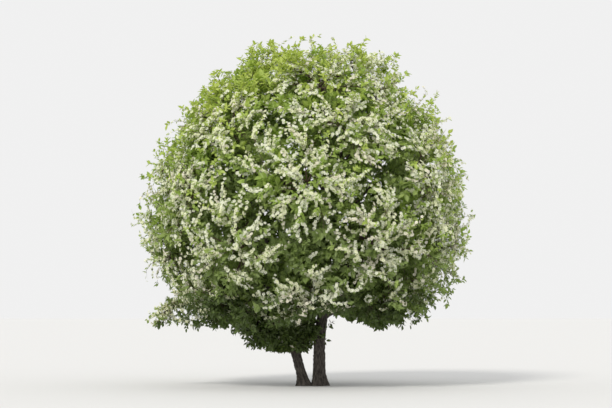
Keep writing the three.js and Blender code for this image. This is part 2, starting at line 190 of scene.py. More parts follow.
def makeMasses():
    # each mass has a middle, and a wall halfway to each other one
    made = []
    for name, count, tilt, turn in rings:
        for i in range(count):
            way = heading(turn + 360 * i / count, tilt)
            centre = way * crown["centreShare"] * outlineReach(way) + crown["middle"]
            made.append({"name": f"{name}_{i + 1}", "centre": centre, "reach": 0.0})
    for hanger in hangers:
        made.append({**hanger, "centre": np.array(hanger["centre"])})
    for mass in made:
        others = [other for other in made if other is not mass]
        steps = np.array([other["centre"] - mass["centre"] for other in others])
        places = np.full(len(others), 0.5)
        places[[bool(mass["reach"]) and not other["reach"] for other in others]] = hangerWall
        places[[bool(other["reach"]) and not mass["reach"] for other in others]] = 1 - hangerWall
        mass["wallWays"] = unit(steps)
        mass["wallAways"] = np.linalg.norm(steps, axis=1) * places
    return made


def inShell(mass, points, room):
    # within the crown's shell, or within a hanging mass's own reach
    if mass["reach"]:
        return np.linalg.norm(points - mass["centre"], axis=-1) < mass["reach"] * room["outer"] ** 3
    outward = outwardShare(points)
    high = points[..., 2] > undersideHeight(points) + room["lift"]
    return (outward < room["outer"]) & (outward > room["inner"]) & high


def inRoom(mass, points, room):
    # on the mass's own side of every wall, and within the shell
    past = (points - mass["centre"]) @ mass["wallWays"].T - (mass["wallAways"] - room["gap"] / 2)
    return np.all(past < 0, axis=-1) & inShell(mass, points, room)


def roomReach(mass, way, room):
    # the end of the room along a way: a soft minimum, power 6, of the shell's distance and each wall's
    inside, outside = 0.0, 2 * crown["up"]
    for _ in range(16):
        half = (inside + outside) / 2
        if inShell(mass, mass["centre"] + way * half, room):
            inside = half
        else:
            outside = half
    near = np.maximum(mass["wallWays"] @ way, 0) / (mass["wallAways"] - room["gap"] / 2)
    return float(np.sum(np.append(near, 1 / inside) ** cornerPower) ** (-1 / cornerPower))


def entryPoint(mass, start):
    # where a limb that comes from start enters the mass
    way = unit(np.array(mass["arrive"]) if "arrive" in mass else start - mass["centre"])
    return mass["centre"] + way * (roomReach(mass, way, coreRoom) + boughRule["entryStep"])


def pathOf(points):
    # a curve's points with the share of its length at each
    far = np.concatenate([[0], np.cumsum(np.linalg.norm(np.diff(points, axis=0), axis=1))])
    return {"points": points, "length": far[-1], "shares": far / far[-1]}


def pointAt(path, shares):
    # the points that lie these shares of its length along a path
    return np.stack([np.interp(shares, path["shares"], path["points"][:, i]) for i in range(3)], axis=-1)


def tangentAt(path, shares):
    # the way a path runs there, from a step before to a step after
    step = 2e-3
    return unit(pointAt(path, np.minimum(shares + step, 1)) - pointAt(path, np.maximum(shares - step, 0)))


def catmullRom(points, count=480):
    # cubics from point to point, the slope at each from both neighbours by the root of their distance
    points = np.array(points, float)
    padded = np.vstack([2 * points[0] - points[1], points, 2 * points[-1] - points[-2]])
    time = np.linspace(0, len(points) - 1, count)
    start = np.minimum(time.astype(int), len(points) - 2)
    t = (time - start)[:, None]
    p0, p1, p2, p3 = (padded[start + i] for i in range(4))
    d0, d1, d2 = (np.linalg.norm(b - a, axis=1)[:, None] ** 0.5 for a, b in ((p0, p1), (p1, p2), (p2, p3)))
    slope1 = ((p1 - p0) / d0 - (p2 - p0) / (d0 + d1) + (p2 - p1) / d1) * d1
    slope2 = ((p2 - p1) / d1 - (p3 - p1) / (d1 + d2) + (p3 - p2) / d2) * d1
    square = 3 * (p2 - p1) - 2 * slope1 - slope2
    cube = 2 * (p1 - p2) + slope1 + slope2
    return pathOf(p1 + slope1 * t + square * t**2 + cube * t**3)


def bezier(p0, p1, p2, p3, count):
    # many cubic Bezier curves at once: (n, 3) control points in, (n, count, 3) points out
    t = np.linspace(0, 1, count)[None, :, None]
    p0, p1, p2, p3 = (p[:, None] for p in (p0, p1, p2, p3))
    return p0 * (1 - t) ** 3 + 3 * p1 * t * (1 - t) ** 2 + 3 * p2 * t**2 * (1 - t) + p3 * t**3


def shareAtHeight(path, height):
    # the first place along a path that is this high
    return float(path["shares"][np.argmax(path["points"][:, 2] >= height)])


def stemRadius(stem, shares):
    # foot + (tip - foot) * share^taper
    return stem["footRadius"] + (stem["tipRadius"] - stem["footRadius"]) * shares ** stemRule["taper"]


def routeStem(stem):
    # through the route's points and on into its mass
    mass = massNamed[stem["tipMass"]]
    mass["entry"] = entryPoint(mass, np.array(stem["route"][-1]))
    mass["entryRadius"] = stem["tipRadius"]
    stem["path"] = catmullRom([*stem["route"], mass["entry"]])
    mass["entryWay"] = tangentAt(stem["path"], 1.0)


def routeBough(mass, stem, number):
    # one long bend from the stem's middle to the mass: a cubic Bezier
    highest = pointAt(stem["path"], boughRule["highest"])[2]
    height = min(boughRule["share"] * mass["centre"][2] + boughRule["lift"], highest)
    height += boughRule["stagger"] * (number % 3 - 1)
    along = shareAtHeight(stem["path"], mass.get("fork", height))
    start = pointAt(stem["path"], along)
    end = entryPoint(mass, start)
    leaving = unit((end - start) * level)
    climbs = mass["centre"][2] > start[2] + boughRule["flatWithin"]
    leaving[2] = boughRule["rise"] if climbs else boughRule["flatRise"]
    arriving = unit(mass["centre"] - end)
    length = np.linalg.norm(end - start)
    bendFoot = start + unit(leaving) * length * boughRule["bendFoot"]
    bendTip = end - arriving * length * boughRule["bendTip"]
    controls = [p[None] for p in (start, bendFoot, bendTip, end)]
    mass["entry"], mass["entryWay"] = end, arriving
    mass["entryRadius"] = boughRule["tip"] * (boughRule["thin"] if mass["reach"] else 1)
    foot = min(stemRadius(stem, along) * boughRule["foot"], boughRule["footMost"])
    return {"name": f"bough_{mass['name']}", "path": pathOf(bezier(*controls, 200)[0]), "foot": foot,
            "tip": mass["entryRadius"], "sunk": float(stemRadius(stem, along)), "number": number}


masses = makeMasses()
massNamed = {mass["name"]: mass for mass in masses}
for stem in stems:
    routeStem(stem)
boughs = []
for number, mass in enumerate(masses):
    if mass["name"] not in [stem["tipMass"] for stem in stems]:
        carrier = stems[1] if mass["centre"][0] < stemRule["divide"] else stems[0]
        boughs.append(routeBough(mass, carrier, number))
print("routes laid:", len(stems), "stems,", len(boughs), "boughs,", len(masses), "masses")


def placed(name, data):
    # an object with this mesh, lamp or camera, in the scene
    piece = bpy.data.objects.new(name, data)
    bpy.context.scene.collection.objects.link(piece)
    return piece


def meshPiece(name, vertices, faceSets, materials, tones=None, smooth=True):
    # vertices (n, 3), faceSets a list of (m, corners) index arrays, tones a material number for each face
    mesh = bpy.data.meshes.new(name)
    corners = np.concatenate([faces.ravel() for faces in faceSets])
    sizes = np.concatenate([np.full(len(faces), faces.shape[1]) for faces in faceSets])
    mesh.vertices.add(len(vertices))
    mesh.vertices.foreach_set("co", vertices.astype(np.float32).ravel())
    mesh.loops.add(len(corners))
    mesh.loops.foreach_set("vertex_index", corners.astype(np.int32))
    mesh.polygons.add(len(sizes))
    mesh.polygons.foreach_set("loop_start", (np.cumsum(sizes) - sizes).astype(np.int32))
    for material in materials:
        mesh.materials.append(material)
    if tones is not None:
        mesh.polygons.foreach_set("material_index", tones.astype(np.int32))
    mesh.polygons.foreach_set("use_smooth", np.full(len(sizes), smooth))
    mesh.update(calc_edges=True)
    mesh.validate()
    return placed(name, mesh)


def squareTo(ways):
    # a unit vector square to each way, level where the way isn't upright
    helper = np.where(np.abs(ways[..., 2:]) > 0.9, np.array((1.0, 0, 0)), upward)
    return unit(np.cross(helper, ways))


def straightened(reference, ways):
    # what is left of the reference when its part along each way is taken off, as a unit vector
    return unit(reference - ways * np.sum(ways * reference, axis=-1, keepdims=True))


def sideRound(ways, turn):
    # a unit vector square to each way, turned round it: first * cos(turn) + (way x first) * sin(turn)
    first = squareTo(ways)
    return first * np.cos(turn) + np.cross(ways, first) * np.sin(turn)


def turnsOf(sides):
    # the turns of a ring's corners
    return np.arange(sides) * 2 * math.pi / sides


def spokes(first, second, sides):
    # the ways out to a ring's corners: first * cos(turn) + second * sin(turn)
    turn = turnsOf(sides)[:, None]
    return first[..., None, :] * np.cos(turn) + second[..., None, :] * np.sin(turn)


def ringWalls(rings, sides):
    # the numbers of a ring's corners and of the ones after them, and the four-sided faces between rings
    ring = np.arange(sides)
    after = (ring + 1) % sides
    rows = np.arange(rings - 1)[:, None] * sides
    walls = np.stack([rows + ring, rows + after, rows + after + sides, rows + ring + sides], axis=-1)
    return ring, after, walls.reshape(-1, 4)


def tubes(points, radii, sides):
    # many round twigs at once: rings of radius r(k) round each path, drawn to a point at the tip
    count, steps = points.shape[:2]
    tangents = unit(np.gradient(points, axis=1))
    first = straightened(squareTo(unit(points[:, -1] - points[:, 0]))[:, None], tangents)
    second = np.cross(tangents, first)
    out = spokes(first[:, :-1], second[:, :-1], sides)
    body = points[:, :-1, None] + out * radii[:, :-1, None, None]
    each = (steps - 1) * sides + 1
    vertices = np.concatenate([body.reshape(count, -1, 3), points[:, -1:]], axis=1)
    ring, after, walls = ringWalls(steps - 1, sides)
    last = (steps - 2) * sides
    tips = np.stack([last + ring, last + after, np.full(sides, each - 1)], axis=-1)
    base = (np.arange(count) * each)[:, None, None]
    return vertices.reshape(-1, 3), [
        (base + walls).reshape(-1, 4), (base + tips).reshape(-1, 3), base[:, 0] + ring[::-1]]


def stacked(parts):
    # joins (vertices, faceSets) parts into one: each part's indices follow on from those before
    shift = 0
    vertices, faceSets = [], []
    for points, sets in parts:
        vertices.append(points)
        faceSets += [faces + shift for faces in sets]
        shift += len(points)
    return np.concatenate(vertices), faceSets


# Shader groups


def newGroup(name, inputs):
    # a pattern group; each input is (kind, name) or (kind, name, value)
    group = bpy.data.node_groups.new(name, "ShaderNodeTree")
    outputs = [("Color", "Color"), ("Float", "Roughness"), ("Float", "Height")]
    for direction, sockets in (("INPUT", inputs), ("OUTPUT", outputs)):
        for kind, label, *value in sockets:
            socket = group.interface.new_socket(label, in_out=direction, socket_type=f"NodeSocket{kind}")
            if value:
                socket.default_value = value[0]
    return group, group.nodes.new("NodeGroupInput").outputs, group.nodes.new("NodeGroupOutput").inputs


def feed(tree, socket, value):
    # links the socket to another one, or sets its value or its colour
    if isinstance(value, bpy.types.NodeSocket):
        tree.links.new(value, socket)
    else:
        socket.default_value = (*value, 1) if socket.type == "RGBA" else value


def addNode(tree, kind, settings=None, **values):
    # a node with its settings, and with its inputs fed by name
    node = tree.nodes.new(f"ShaderNode{kind}")
    for label, value in (settings or {}).items():
        setattr(node, label, value)
    for label, value in values.items():
        feed(tree, node.inputs[label], value)
    return node


def mixColours(tree, mask, dark, light):
    # dark where the mask is 0, light where it is 1
    mix = addNode(tree, "Mix", {"data_type": "RGBA"}, Factor=mask)
    feed(tree, mix.inputs[6], dark)
    feed(tree, mix.inputs[7], light)
    return mix.outputs[2]


def stretched(tree, place, scale):
    # the place, times a scale along each axis
    return addNode(tree, "Mapping", Scale=scale, Vector=place).outputs["Vector"]


def noiseOf(tree, place, scale, detail=4.0, rough=0.55):
    # noise from 0 to 1, so many to a metre
    return addNode(tree, "TexNoise", Scale=scale, Detail=detail, Roughness=rough, Vector=place).outputs["Fac"]


def ranged(tree, value, low, high):
    # 0 below low, 1 above high, smooth between
    ends = {"Value": value, "From Min": low, "From Max": high}
    return addNode(tree, "MapRange", {"interpolation_type": "SMOOTHSTEP"}, **ends).outputs["Result"]


def calculated(tree, operation, first, second):
    # first + second, first * second and so on
    node = addNode(tree, "Math", {"operation": operation})
    feed(tree, node.inputs[0], first)
    feed(tree, node.inputs[1], second)
    return node.outputs[0]


def weighted(tree, first, firstPart, second, secondPart):
    # first * its part + second * its part
    return calculated(tree, "ADD", calculated(tree, "MULTIPLY", first, firstPart),
                      calculated(tree, "MULTIPLY", second, secondPart))


# ridgeShading and fineTone weigh the ridges and a fine grain in one mask: painted light on the ridges,
# painted shade in the furrows, and the ridges' polish
barkLook = {
    "furrowScale": (34, 34, 9), "fineScale": (120, 120, 60), "dashScale": (22, 22, 130),
    "ridge": (0.36, 0.64), "dash": (0.60, 0.68),  # between these the noise is taken from 0 to 1
    "ridgeShading": 0.75, "fineTone": 0.25, "dashHeight": 0.35, "fineHeight": 0.2, "rough": 0.96, "polish": 0.16,
}
dappleLook = {"blotch": 0.65, "grain": 0.35, "tone": (0.36, 0.64), "rough": 0.46, "grainRough": 0.24}


def barkGroup():
    # furrows run along the limb and pores are short dashes across it; the ridges are painted lighter and the
    # furrows darker, as painted light and painted shade that follow the relief, and the ridges are also
    # smoother
    group, given, out = newGroup("barkPattern", [
        ("Vector", "Place"), ("Color", "Dark"), ("Color", "Light"), ("Color", "Lenticel"),
        ("Float", "Furrows", 1.0), ("Float", "Dashes", 1.0)])
    place, look = given["Place"], barkLook
    furrow = noiseOf(group, stretched(group, place, look["furrowScale"]), 1.0, 6, 0.62)
    fine = noiseOf(group, stretched(group, place, look["fineScale"]), 1.0, 3)
    dash = noiseOf(group, stretched(group, place, look["dashScale"]), 1.0, 2)
    dash = calculated(group, "MULTIPLY", ranged(group, dash, *look["dash"]), given["Dashes"])
    ridge = ranged(group, furrow, *look["ridge"])
    # painted light on the ridges and painted shade in the furrows, with a fine grain of tone; the same mask
    # makes the ridges smoother
    paintedShadeAndPolish = weighted(group, ridge, look["ridgeShading"], fine, look["fineTone"])
    colour = mixColours(group, paintedShadeAndPolish, given["Dark"], given["Light"])
    feed(group, out["Color"], mixColours(group, dash, colour, given["Lenticel"]))
    height = weighted(group, ridge, given["Furrows"], dash, look["dashHeight"])
    height = calculated(group, "ADD", height, calculated(group, "MULTIPLY", fine, look["fineHeight"]))
    feed(group, out["Height"], height)
    polish = calculated(group, "MULTIPLY", paintedShadeAndPolish, look["polish"])
    feed(group, out["Roughness"], calculated(group, "SUBTRACT", look["rough"], polish))
    return group


def dappleGroup():
    # two tones in soft blotches with a fine grain, by the weighted sum of both
    group, given, out = newGroup("dapple", [
        ("Vector", "Place"), ("Float", "Blotch", 9.0), ("Float", "Grain", 160.0), ("Color", "Dark"),
        ("Color", "Light")])
    blotch, grain = (noiseOf(group, given["Place"], given[label], 2.0, 0.5) for label in ("Blotch", "Grain"))
    both = weighted(group, blotch, dappleLook["blotch"], grain, dappleLook["grain"])
    mask = ranged(group, both, *dappleLook["tone"])
    feed(group, out["Color"], mixColours(group, mask, given["Dark"], given["Light"]))
    added = calculated(group, "MULTIPLY", grain, dappleLook["grainRough"])
    feed(group, out["Roughness"], calculated(group, "ADD", dappleLook["rough"], added))
    feed(group, out["Height"], grain)
    return group


barkPattern = barkGroup()
dapple = dappleGroup()


def patternMaterial(name, pattern, place, values, bump, specular):
    # a Principled surface whose colour, roughness and relief come from a pattern group; bump is the relief's
    # strength and depth
    material = bpy.data.materials.new(name)
    material.use_nodes = True
    tree = material.node_tree
    surface = tree.nodes["Principled BSDF"].inputs
    surface["Specular IOR Level"].default_value = specular
    node = tree.nodes.new("ShaderNodeGroup")
    node.node_tree = pattern
    if place == "Object":
        values = {**values, "Place": addNode(tree, "TexCoord").outputs["Object"]}
    else:
        values = {**values, "Place": addNode(tree, "Attribute", {"attribute_name": place}).outputs["Vector"]}
    for label, value in values.items():
        feed(tree, node.inputs[label], value)
    relief = addNode(tree, "Bump", Strength=bump[0], Distance=bump[1], Height=node.outputs["Height"])
    feed(tree, surface["Normal"], relief.outputs["Normal"])
    feed(tree, surface["Base Color"], node.outputs["Color"])
    feed(tree, surface["Roughness"], node.outputs["Roughness"])
    return material


def thinMaterials(tones, through, specular):
    # leaves or petals, one for each tone: dappled, with part of the light passing through them
    made = []
    for name, (dark, light, glow) in tones.items():
        made.append(patternMaterial(
            name, dapple, "Object", {"Dark": dark, "Light": light}, (0.15, 0.001), specular))
        tree = made[-1].node_tree
        passing = addNode(tree, "BsdfTranslucent", Color=glow)
        mix = addNode(tree, "MixShader", Fac=through)
        feed(tree, mix.inputs[1], tree.nodes["Principled BSDF"].outputs["BSDF"])
        feed(tree, mix.inputs[2], passing.outputs["BSDF"])
        feed(tree, tree.nodes["Material Output"].inputs["Surface"], mix.outputs["Shader"])
    return made


# Bark colours: Dark is the painted shade in the furrows, Light the painted light on the ridges
oldBark = patternMaterial(
    "oldBark", barkPattern, "barkPlace",
    {"Dark": (0.010, 0.008, 0.007), "Light": (0.092, 0.078, 0.066), "Lenticel": (0.130, 0.110, 0.092),
     "Furrows": 1.0, "Dashes": 0.35},
    (0.7, 0.012), 0.25)
youngBark = patternMaterial(
    "youngBark", barkPattern, "barkPlace",
    {"Dark": (0.018, 0.013, 0.011), "Light": (0.070, 0.053, 0.044), "Lenticel": (0.14, 0.11, 0.085),
     "Furrows": 0.5, "Dashes": 0.9},
    (0.5, 0.006), 0.35)
twigBark = patternMaterial(
    "twigBark", dapple, "Object",
    {"Dark": (0.045, 0.028, 0.020), "Light": (0.120, 0.080, 0.052), "Blotch": 14.0, "Grain": 220.0},
    (0.4, 0.001), 0.3)

# Leaf tones from the shaded inside to the shoots at the top, lit and shaded copies of one green: painted
# shade inside and underneath, painted sunlight and young shoots at the top; each is dark, light and the light
# through it
leafTones = {
    "leafShade": ((0.042, 0.066, 0.015), (0.076, 0.112, 0.026), (0.10, 0.17, 0.02)),
    "leafDeep": ((0.112, 0.158, 0.040), (0.176, 0.242, 0.062), (0.24, 0.36, 0.05)),
    "leafMid": ((0.180, 0.244, 0.058), (0.262, 0.348, 0.084), (0.35, 0.51, 0.07)),
    "leafFresh": ((0.200, 0.290, 0.050), (0.290, 0.400, 0.074), (0.38, 0.58, 0.06)),
    "leafSun": ((0.285, 0.385, 0.062), (0.385, 0.485, 0.092), (0.48, 0.66, 0.07)),
    "leafShoot": ((0.345, 0.435, 0.070), (0.450, 0.530, 0.105), (0.54, 0.70, 0.08)),
}
petalTones = {
    "petalWhite": ((0.79, 0.81, 0.62), (0.88, 0.90, 0.73), (0.83, 0.87, 0.62)),
    "petalCream": ((0.75, 0.77, 0.50), (0.84, 0.86, 0.61), (0.78, 0.81, 0.49)),
    "petalWarm": ((0.82, 0.78, 0.62), (0.90, 0.86, 0.72), (0.85, 0.81, 0.61)),
}
leafMaterials = thinMaterials(leafTones, 0.30, 0.40)
petalMaterials = thinMaterials(petalTones, 0.25, 0.30)
stamenMaterial = patternMaterial(
    "stamens", dapple, "Object", {"Dark": (0.42, 0.44, 0.08), "Light": (0.70, 0.66, 0.16), "Blotch": 30.0},
    (0.3, 0.001), 0.3)
stalkMaterial = patternMaterial(
    "stalks", dapple, "Object", {"Dark": (0.10, 0.16, 0.04), "Light": (0.20, 0.28, 0.07), "Blotch": 30.0},
    (0.3, 0.001), 0.3)
print("materials made")


# Stems and boughs with their bark


def barkTube(name, points, radii, relief, reference, normals, places, material):
    # a limb: ring k has radius r(k) + relief(k, turn) round its path, and a pole closes each end
    steps, sides = relief.shape
    first = straightened(reference, normals)
    out = spokes(first, np.cross(normals, first), sides)
    body = points[:, None] + out * (radii[:, None] + relief)[..., None]
    vertices = np.concatenate([body.reshape(-1, 3), points[:1], points[-1:]])
    ring, after, walls = ringWalls(steps, sides)
    last = (steps - 1) * sides
    foot = np.stack([after, ring, np.full(sides, steps * sides)], axis=-1)
    tip = np.stack([last + ring, last + after, np.full(sides, steps * sides + 1)], axis=-1)
    piece = meshPiece(name, vertices, [walls, foot, tip], [material])
    poles = np.array([(0, 0, places[0, 0, 2]), (0, 0, places[-1, 0, 2])])
    pattern = piece.data.attributes.new("barkPlace", "FLOAT_VECTOR", "POINT")
    spread = np.concatenate([places.reshape(-1, 3), poles])
    pattern.data.foreach_set("vector", spread.astype(np.float32).ravel())
    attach(piece, "root")
    return piece


def barkPlaces(radii, far, sides):
    # where a point would lie on the limb pulled straight: (r cos turn, r sin turn, distance along)
    turn = turnsOf(sides)
    flat = np.stack([np.cos(turn), np.sin(turn)], axis=-1) * radii[:, None, None]
    return np.concatenate([flat, np.broadcast_to(far[:, None, None], (len(far), sides, 1))], axis=-1)


stemBark = {
    "sides": 88, "ringStep": 0.014, "ringStepHigh": 0.030, "highFrom": 2.2,
    "levelTo": 0.5,  # the height up to which the rings turn from level to square
    "lobe": 0.42, "lesserLobe": 0.2, "girthLeast": 0.35,
    "flute": 0.045, "twist": 0.7, "swing": 1.3, "swingScale": (6, 6, 1.1),
    "warp": 0.012, "warpScale": 25,
    "furrow": 0.0120, "ridgeScale": (26, 26, 6.5), "ridgeMiddle": 0.7,
    "lesserRidge": 0.5, "lesserScale": (55, 55, 15),
    "plate": 0.0060, "plateScale": (11, 11, 34), "grain": 0.0022, "grainScale": (130, 130, 70),
}


def makeStem(stem, kind):
    # radius: taper + root flare * (1 - height / cut)^fade * lobes; relief: three flutes, ridges of
    # 1 - 2 |noise| along, plates across and a grain
    path, bark = stem["path"], stemBark
    ground = np.interp(0.0, path["points"][:, 2], path["shares"])
    end = path["length"] * (1 - ground)
    fine = np.arange(0, bark["highFrom"], bark["ringStep"])
    coarse = np.arange(bark["highFrom"], end, bark["ringStepHigh"])
    far = np.append(np.concatenate([fine, coarse]), end)
    shares = ground + far / path["length"]
    points = pointAt(path, shares)
    points[0, 2] = 0
    upright = np.clip(points[:, 2:] / bark["levelTo"], 0, 1)
    normals = unit(lerp(upward, tangentAt(path, shares), upright))
    turn = turnsOf(bark["sides"])
    radii = stemRadius(stem, shares)
    places = barkPlaces(radii, far, bark["sides"])
    low = np.clip(1 - points[:, 2] / stemRule["cut"], 0, 1) ** stemRule["fade"]
    lobes = 1 + bark["lobe"] * np.cos(stemRule["lobes"] * turn + kind)
    lobes = lobes + bark["lesserLobe"] * np.cos(3 * turn + 2 * kind)
    flare = stem["flare"] * low[:, None] * lobes
    swing = bark["swing"] * valueNoise(places * bark["swingScale"], kind + 3)
    waves = np.cos(3 * turn + far[:, None] * bark["twist"] + kind) + swing
    flutes = radii[:, None] * bark["flute"] * waves
    warped = places + bark["warp"] * valueNoise(places * bark["warpScale"], kind + 5)[..., None]
    ridges = 1 - np.abs(valueNoise(warped * bark["ridgeScale"], kind + 7)) * 2
    ridges += bark["lesserRidge"] * (1 - np.abs(valueNoise(warped * bark["lesserScale"], kind + 9)) * 2)
    plates = valueNoise(warped * bark["plateScale"], kind + 11)
    grain = valueNoise(places * bark["grainScale"], kind + 13)
    girth = np.clip(radii / stem["footRadius"], bark["girthLeast"], 1)[:, None]
    relief = flare + flutes + girth * (
        bark["furrow"] * (ridges - bark["ridgeMiddle"]) + bark["plate"] * plates + bark["grain"] * grain)
    reference = np.broadcast_to(np.array((1.0, 0, 0)), normals.shape)
    piece = barkTube(f"{stem['name']}_bark", points, radii, relief, reference, normals, places, oldBark)
    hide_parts(stem["name"], "root_flare")


boughBark = {
    "sides": 22, "ringStep": 0.022, "sunk": 0.15, "taper": 0.8, "collar": 0.42, "collarLength": 0.10,
    "knot": 0.10, "knotScale": (9, 9, 5), "knotFrom": 0.25, "girthLeast": 0.3,
    "furrow": 0.0030, "furrowScale": (48, 48, 12), "ring": 0.0016, "ringScale": (14, 14, 75), "ringFrom": 0.2,
    "oval": 0.04, "twist": 2,
}


def makeBough(bough):
    # radius: foot to tip by along^taper, with a collar where it leaves the stem; relief: knots, furrows,
    # rings and an oval that turns
    path, kind, bark = bough["path"], bough["number"], boughBark
    count = int(path["length"] / bark["ringStep"])
    shares = np.linspace(bark["sunk"] * bough["sunk"] / path["length"], 1, count)
    far = shares * path["length"]
    points = pointAt(path, shares)
    radii = lerp(bough["foot"], bough["tip"], shares ** bark["taper"])
    beyond = np.maximum(far - bough["sunk"], 0) / bark["collarLength"]
    radii = radii * (1 + bark["collar"] * np.exp(-beyond))
    places = barkPlaces(radii, far, bark["sides"])
    knots = np.maximum(valueNoise(places * bark["knotScale"], kind + 20) - bark["knotFrom"], 0)
    furrows = valueNoise(places * bark["furrowScale"], kind + 21)
    bands = np.maximum(valueNoise(places * bark["ringScale"], kind + 22) - bark["ringFrom"], 0)
    girth = np.clip(radii / boughRule["footMost"], bark["girthLeast"], 1)[:, None]
    relief = bark["knot"] * radii[:, None] * knots
    relief = relief + girth * (bark["furrow"] * furrows + bark["ring"] * bands)
    waves = np.cos(2 * turnsOf(bark["sides"]) + far[:, None] * bark["twist"] + kind)
    relief = relief + bark["oval"] * radii[:, None] * waves
    across = unit(np.cross(upward, (path["points"][-1] - path["points"][0]) * level))
    reference = np.broadcast_to(across, points.shape)
    piece = barkTube(f"{bough['name']}_bark", points, radii, relief, reference,
                     tangentAt(path, shares), places, youngBark)
    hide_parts(bough["name"])


for kind, stem in enumerate(stems):
    makeStem(stem, kind)
for bough in boughs:
    makeBough(bough)
print("bark made")


# Growth: each mass has its own stem, limbs from that, branchlets from those, and spurs with leaf and blossom.
# A rule of ways has the weight of each way that a twig follows, and stray is what chance adds

massStemRule = {"sunk": 0.01, "rings": 9, "sides": 10, "taper": 0.55}
limbRule = {
    "tips": 256, "within": 0.985, "reach": 0.90, "from": 0.35, "steps": 11, "sides": 6,
    "radius": 0.016, "taper": 0.25, "bend": 0.33,
    "leaving": {"along": 0.8, "outward": 1, "stray": 0.15},
    "arriving": {"outward": 1, "out": 0.4, "up": 0.25, "stray": 0.12},
    "forkEvery": 4, "forkAt": 0.5, "forkLean": 0.8, "forkGirth": 0.7, "forkBends": (0.3, 0.7),
    "forkRise": 0.12,
}
hangerRule = {
    "limbs": 26, "girth": 0.6, "limbsFrom": 0.6, "twigsFrom": 0.35,  # of the way out, where the nearest end
    "before": 0.22,  # how far back along the line a limb leaves it
    "slimTo": 0.88, "leastVary": 0.12,
}
branchletRule = {
    # how many of each kind, and how unevenly their ways are spread
    "outer": 4200, "inner": 1250, "reaching": 300, "spreads": (0.016, 0.03, 0.06),
    "outerShare": 0.992, "innerShares": (0.48, 0.86), "reachingShares": (0.955, 0.995),
    # what draws an outer one's end in: chance, the place between limb tips, noise, the place between masses
    "ragged": 0.045, "clumpHollow": 0.045, "unevenness": 0.036, "billow": 0.038, "massHollow": 0.050,
    "unevenScale": 6, "billowScale": 2.7, "billowMiddle": 0.6, "hollowMost": 1.3, "massEdge": 9,
    "hollowByTilt": ((-0.45, 0.05), (2.0, 1.0)),  # times clumpHollow, by the height of the way
    "thinning": 0.32, "thinFrom": 0.85,  # the part left out near the edges of clumps
    "backing": 24, "backingSpread": 0.07,  # inner ones more behind each opening
    "lift": (0.02, 0.35), "liftBelow": 0.05,  # above the underside, for those that would hang below it
    "limbSteps": np.array((3, 5, 6, 7, 8, 9, 10)),  # the steps of a limb that they leave from
    "leastLong": (0.34, 0.55), "tooShort": 2.0,  # for plain ones and reaching ones, and what less costs
    "straightCost": (1.5, 0.9),
    "leaving": {"along": 0.8, "outward": 0.6, "stray": 0.12},
    "arriving": {"outward": 0.8, "up": 1, "stray": 0.18},
    "rising": ((1.6, 2.8, 6.5), (-0.10, 0.50, 0.70)),  # how far its end turns up, by height
    "bendFoot": 0.35, "bends": (0.30, 0.55),  # bends: before the end of a leafy one and a flowering one
    "lying": (0.15, 0.2), "turn": 0.8,  # a flowering one's end: outwards, upwards, and its chance turn
    "steps": 6, "sides": 3, "radius": 0.0085, "taper": 0.3, "part": 0.7,  # part: at most, of its limb's girth
}
spurKinds = [  # on a leafy branchlet, and on one that flowers: number, and lengths from first to last
    {"number": 4, "from": 0.26, "long": 0.22, "short": 0.11,
     "along": 0.95, "side": 0.8, "outward": 0.0, "up": 0.20, "stray": 0.14},
    {"number": 11, "from": 0.18, "long": 0.018, "short": 0.008,
     "along": 0.45, "side": 0.8, "outward": 0.55, "up": 0.20, "stray": 0.14},
]
spurRule = {
    "to": 0.97, "vary": (0.7, 1.3), "placeVary": (0.2, 0.8), "radius": 0.0036, "sides": 3,
    "end": {"along": 1, "up": 0.15, "stray": 0.15},  # of the one that runs on from a branchlet's end
    "shoots": 0.45,  # of flowering branchlets, those that end in a leafy shoot
    "beyond": 0.050, "limbGap": 0.03,  # how far one may pass the solids' box, and keeps off the bark
}
bloom = {  # the chance that a branchlet flowers: tables by height of its way, height and outward share
    "tilt": ((-0.75, -0.55, 0.15, 0.55, 0.80, 0.95), (0.34, 0.60, 0.62, 0.58, 0.45, 0.29)),
    "height": ((0.9, 1.5, 2.1), (0.06, 0.34, 1.0)), "outward": ((0.74, 0.86), (0.15, 2.45)),
    "kinds": (1.0, 0.06, 0.6), "clumps": (0.8, 1.15), "drift": 0.15, "driftScale": 1.6,
}
patches = [  # place, spread, and what is added there to the chance of flowers and to the leaf tone
    ((-1.9, -1.6, 6.3), 0.85, -0.30, 1.3), ((-0.6, -1.2, 7.1), 0.75, -0.20, 0.8),
    ((2.1, -2.5, 3.6), 0.60, -0.30, 0.5), ((2.6, -1.9, 2.2), 0.95, -0.40, -0.9),
    ((-2.0, -2.3, 1.7), 0.80, -0.34, -0.8), ((-0.1, -2.9, 2.1), 0.95, 0.22, 0.0),
    ((-1.7, -2.7, 3.1), 0.95, 0.18, 0.0), ((2.6, -2.1, 4.2), 0.70, 0.15, 0.0),
    ((-2.6, -0.9, 4.9), 0.80, -0.15, 0.5), ((-3.4, -0.3, 1.4), 0.75, 0.40, 1.5),
    ((0.1, -2.2, 2.6), 1.20, 0.08, -1.7),
]
openings = [  # place and radius of the gaps in the front: three dark, and one that shows sky
    ((-0.35, -3.2, 2.60), 0.27), ((0.42, -3.2, 2.65), 0.34), ((-1.30, -3.2, 4.15), 0.25),
    ((0.15, -3.4, 3.35), 0.24),
]
openingsAway = 3.4  # from the crown's middle
dents = [  # turn and tilt in degrees, share and half angle, where the crown draws in
    (180, 42, 0.065, 22), (165, 64, 0.035, 18), (0, 50, 0.020, 9), (178, -26, 0.05, 12),
    (-100, -30, 0.02, 16),
]
draws = np.random.default_rng(7)


def jitter(count, size):
    # count steps in chance ways, size being their standard deviation along each axis
    return draws.normal(0, size, (count, 3))


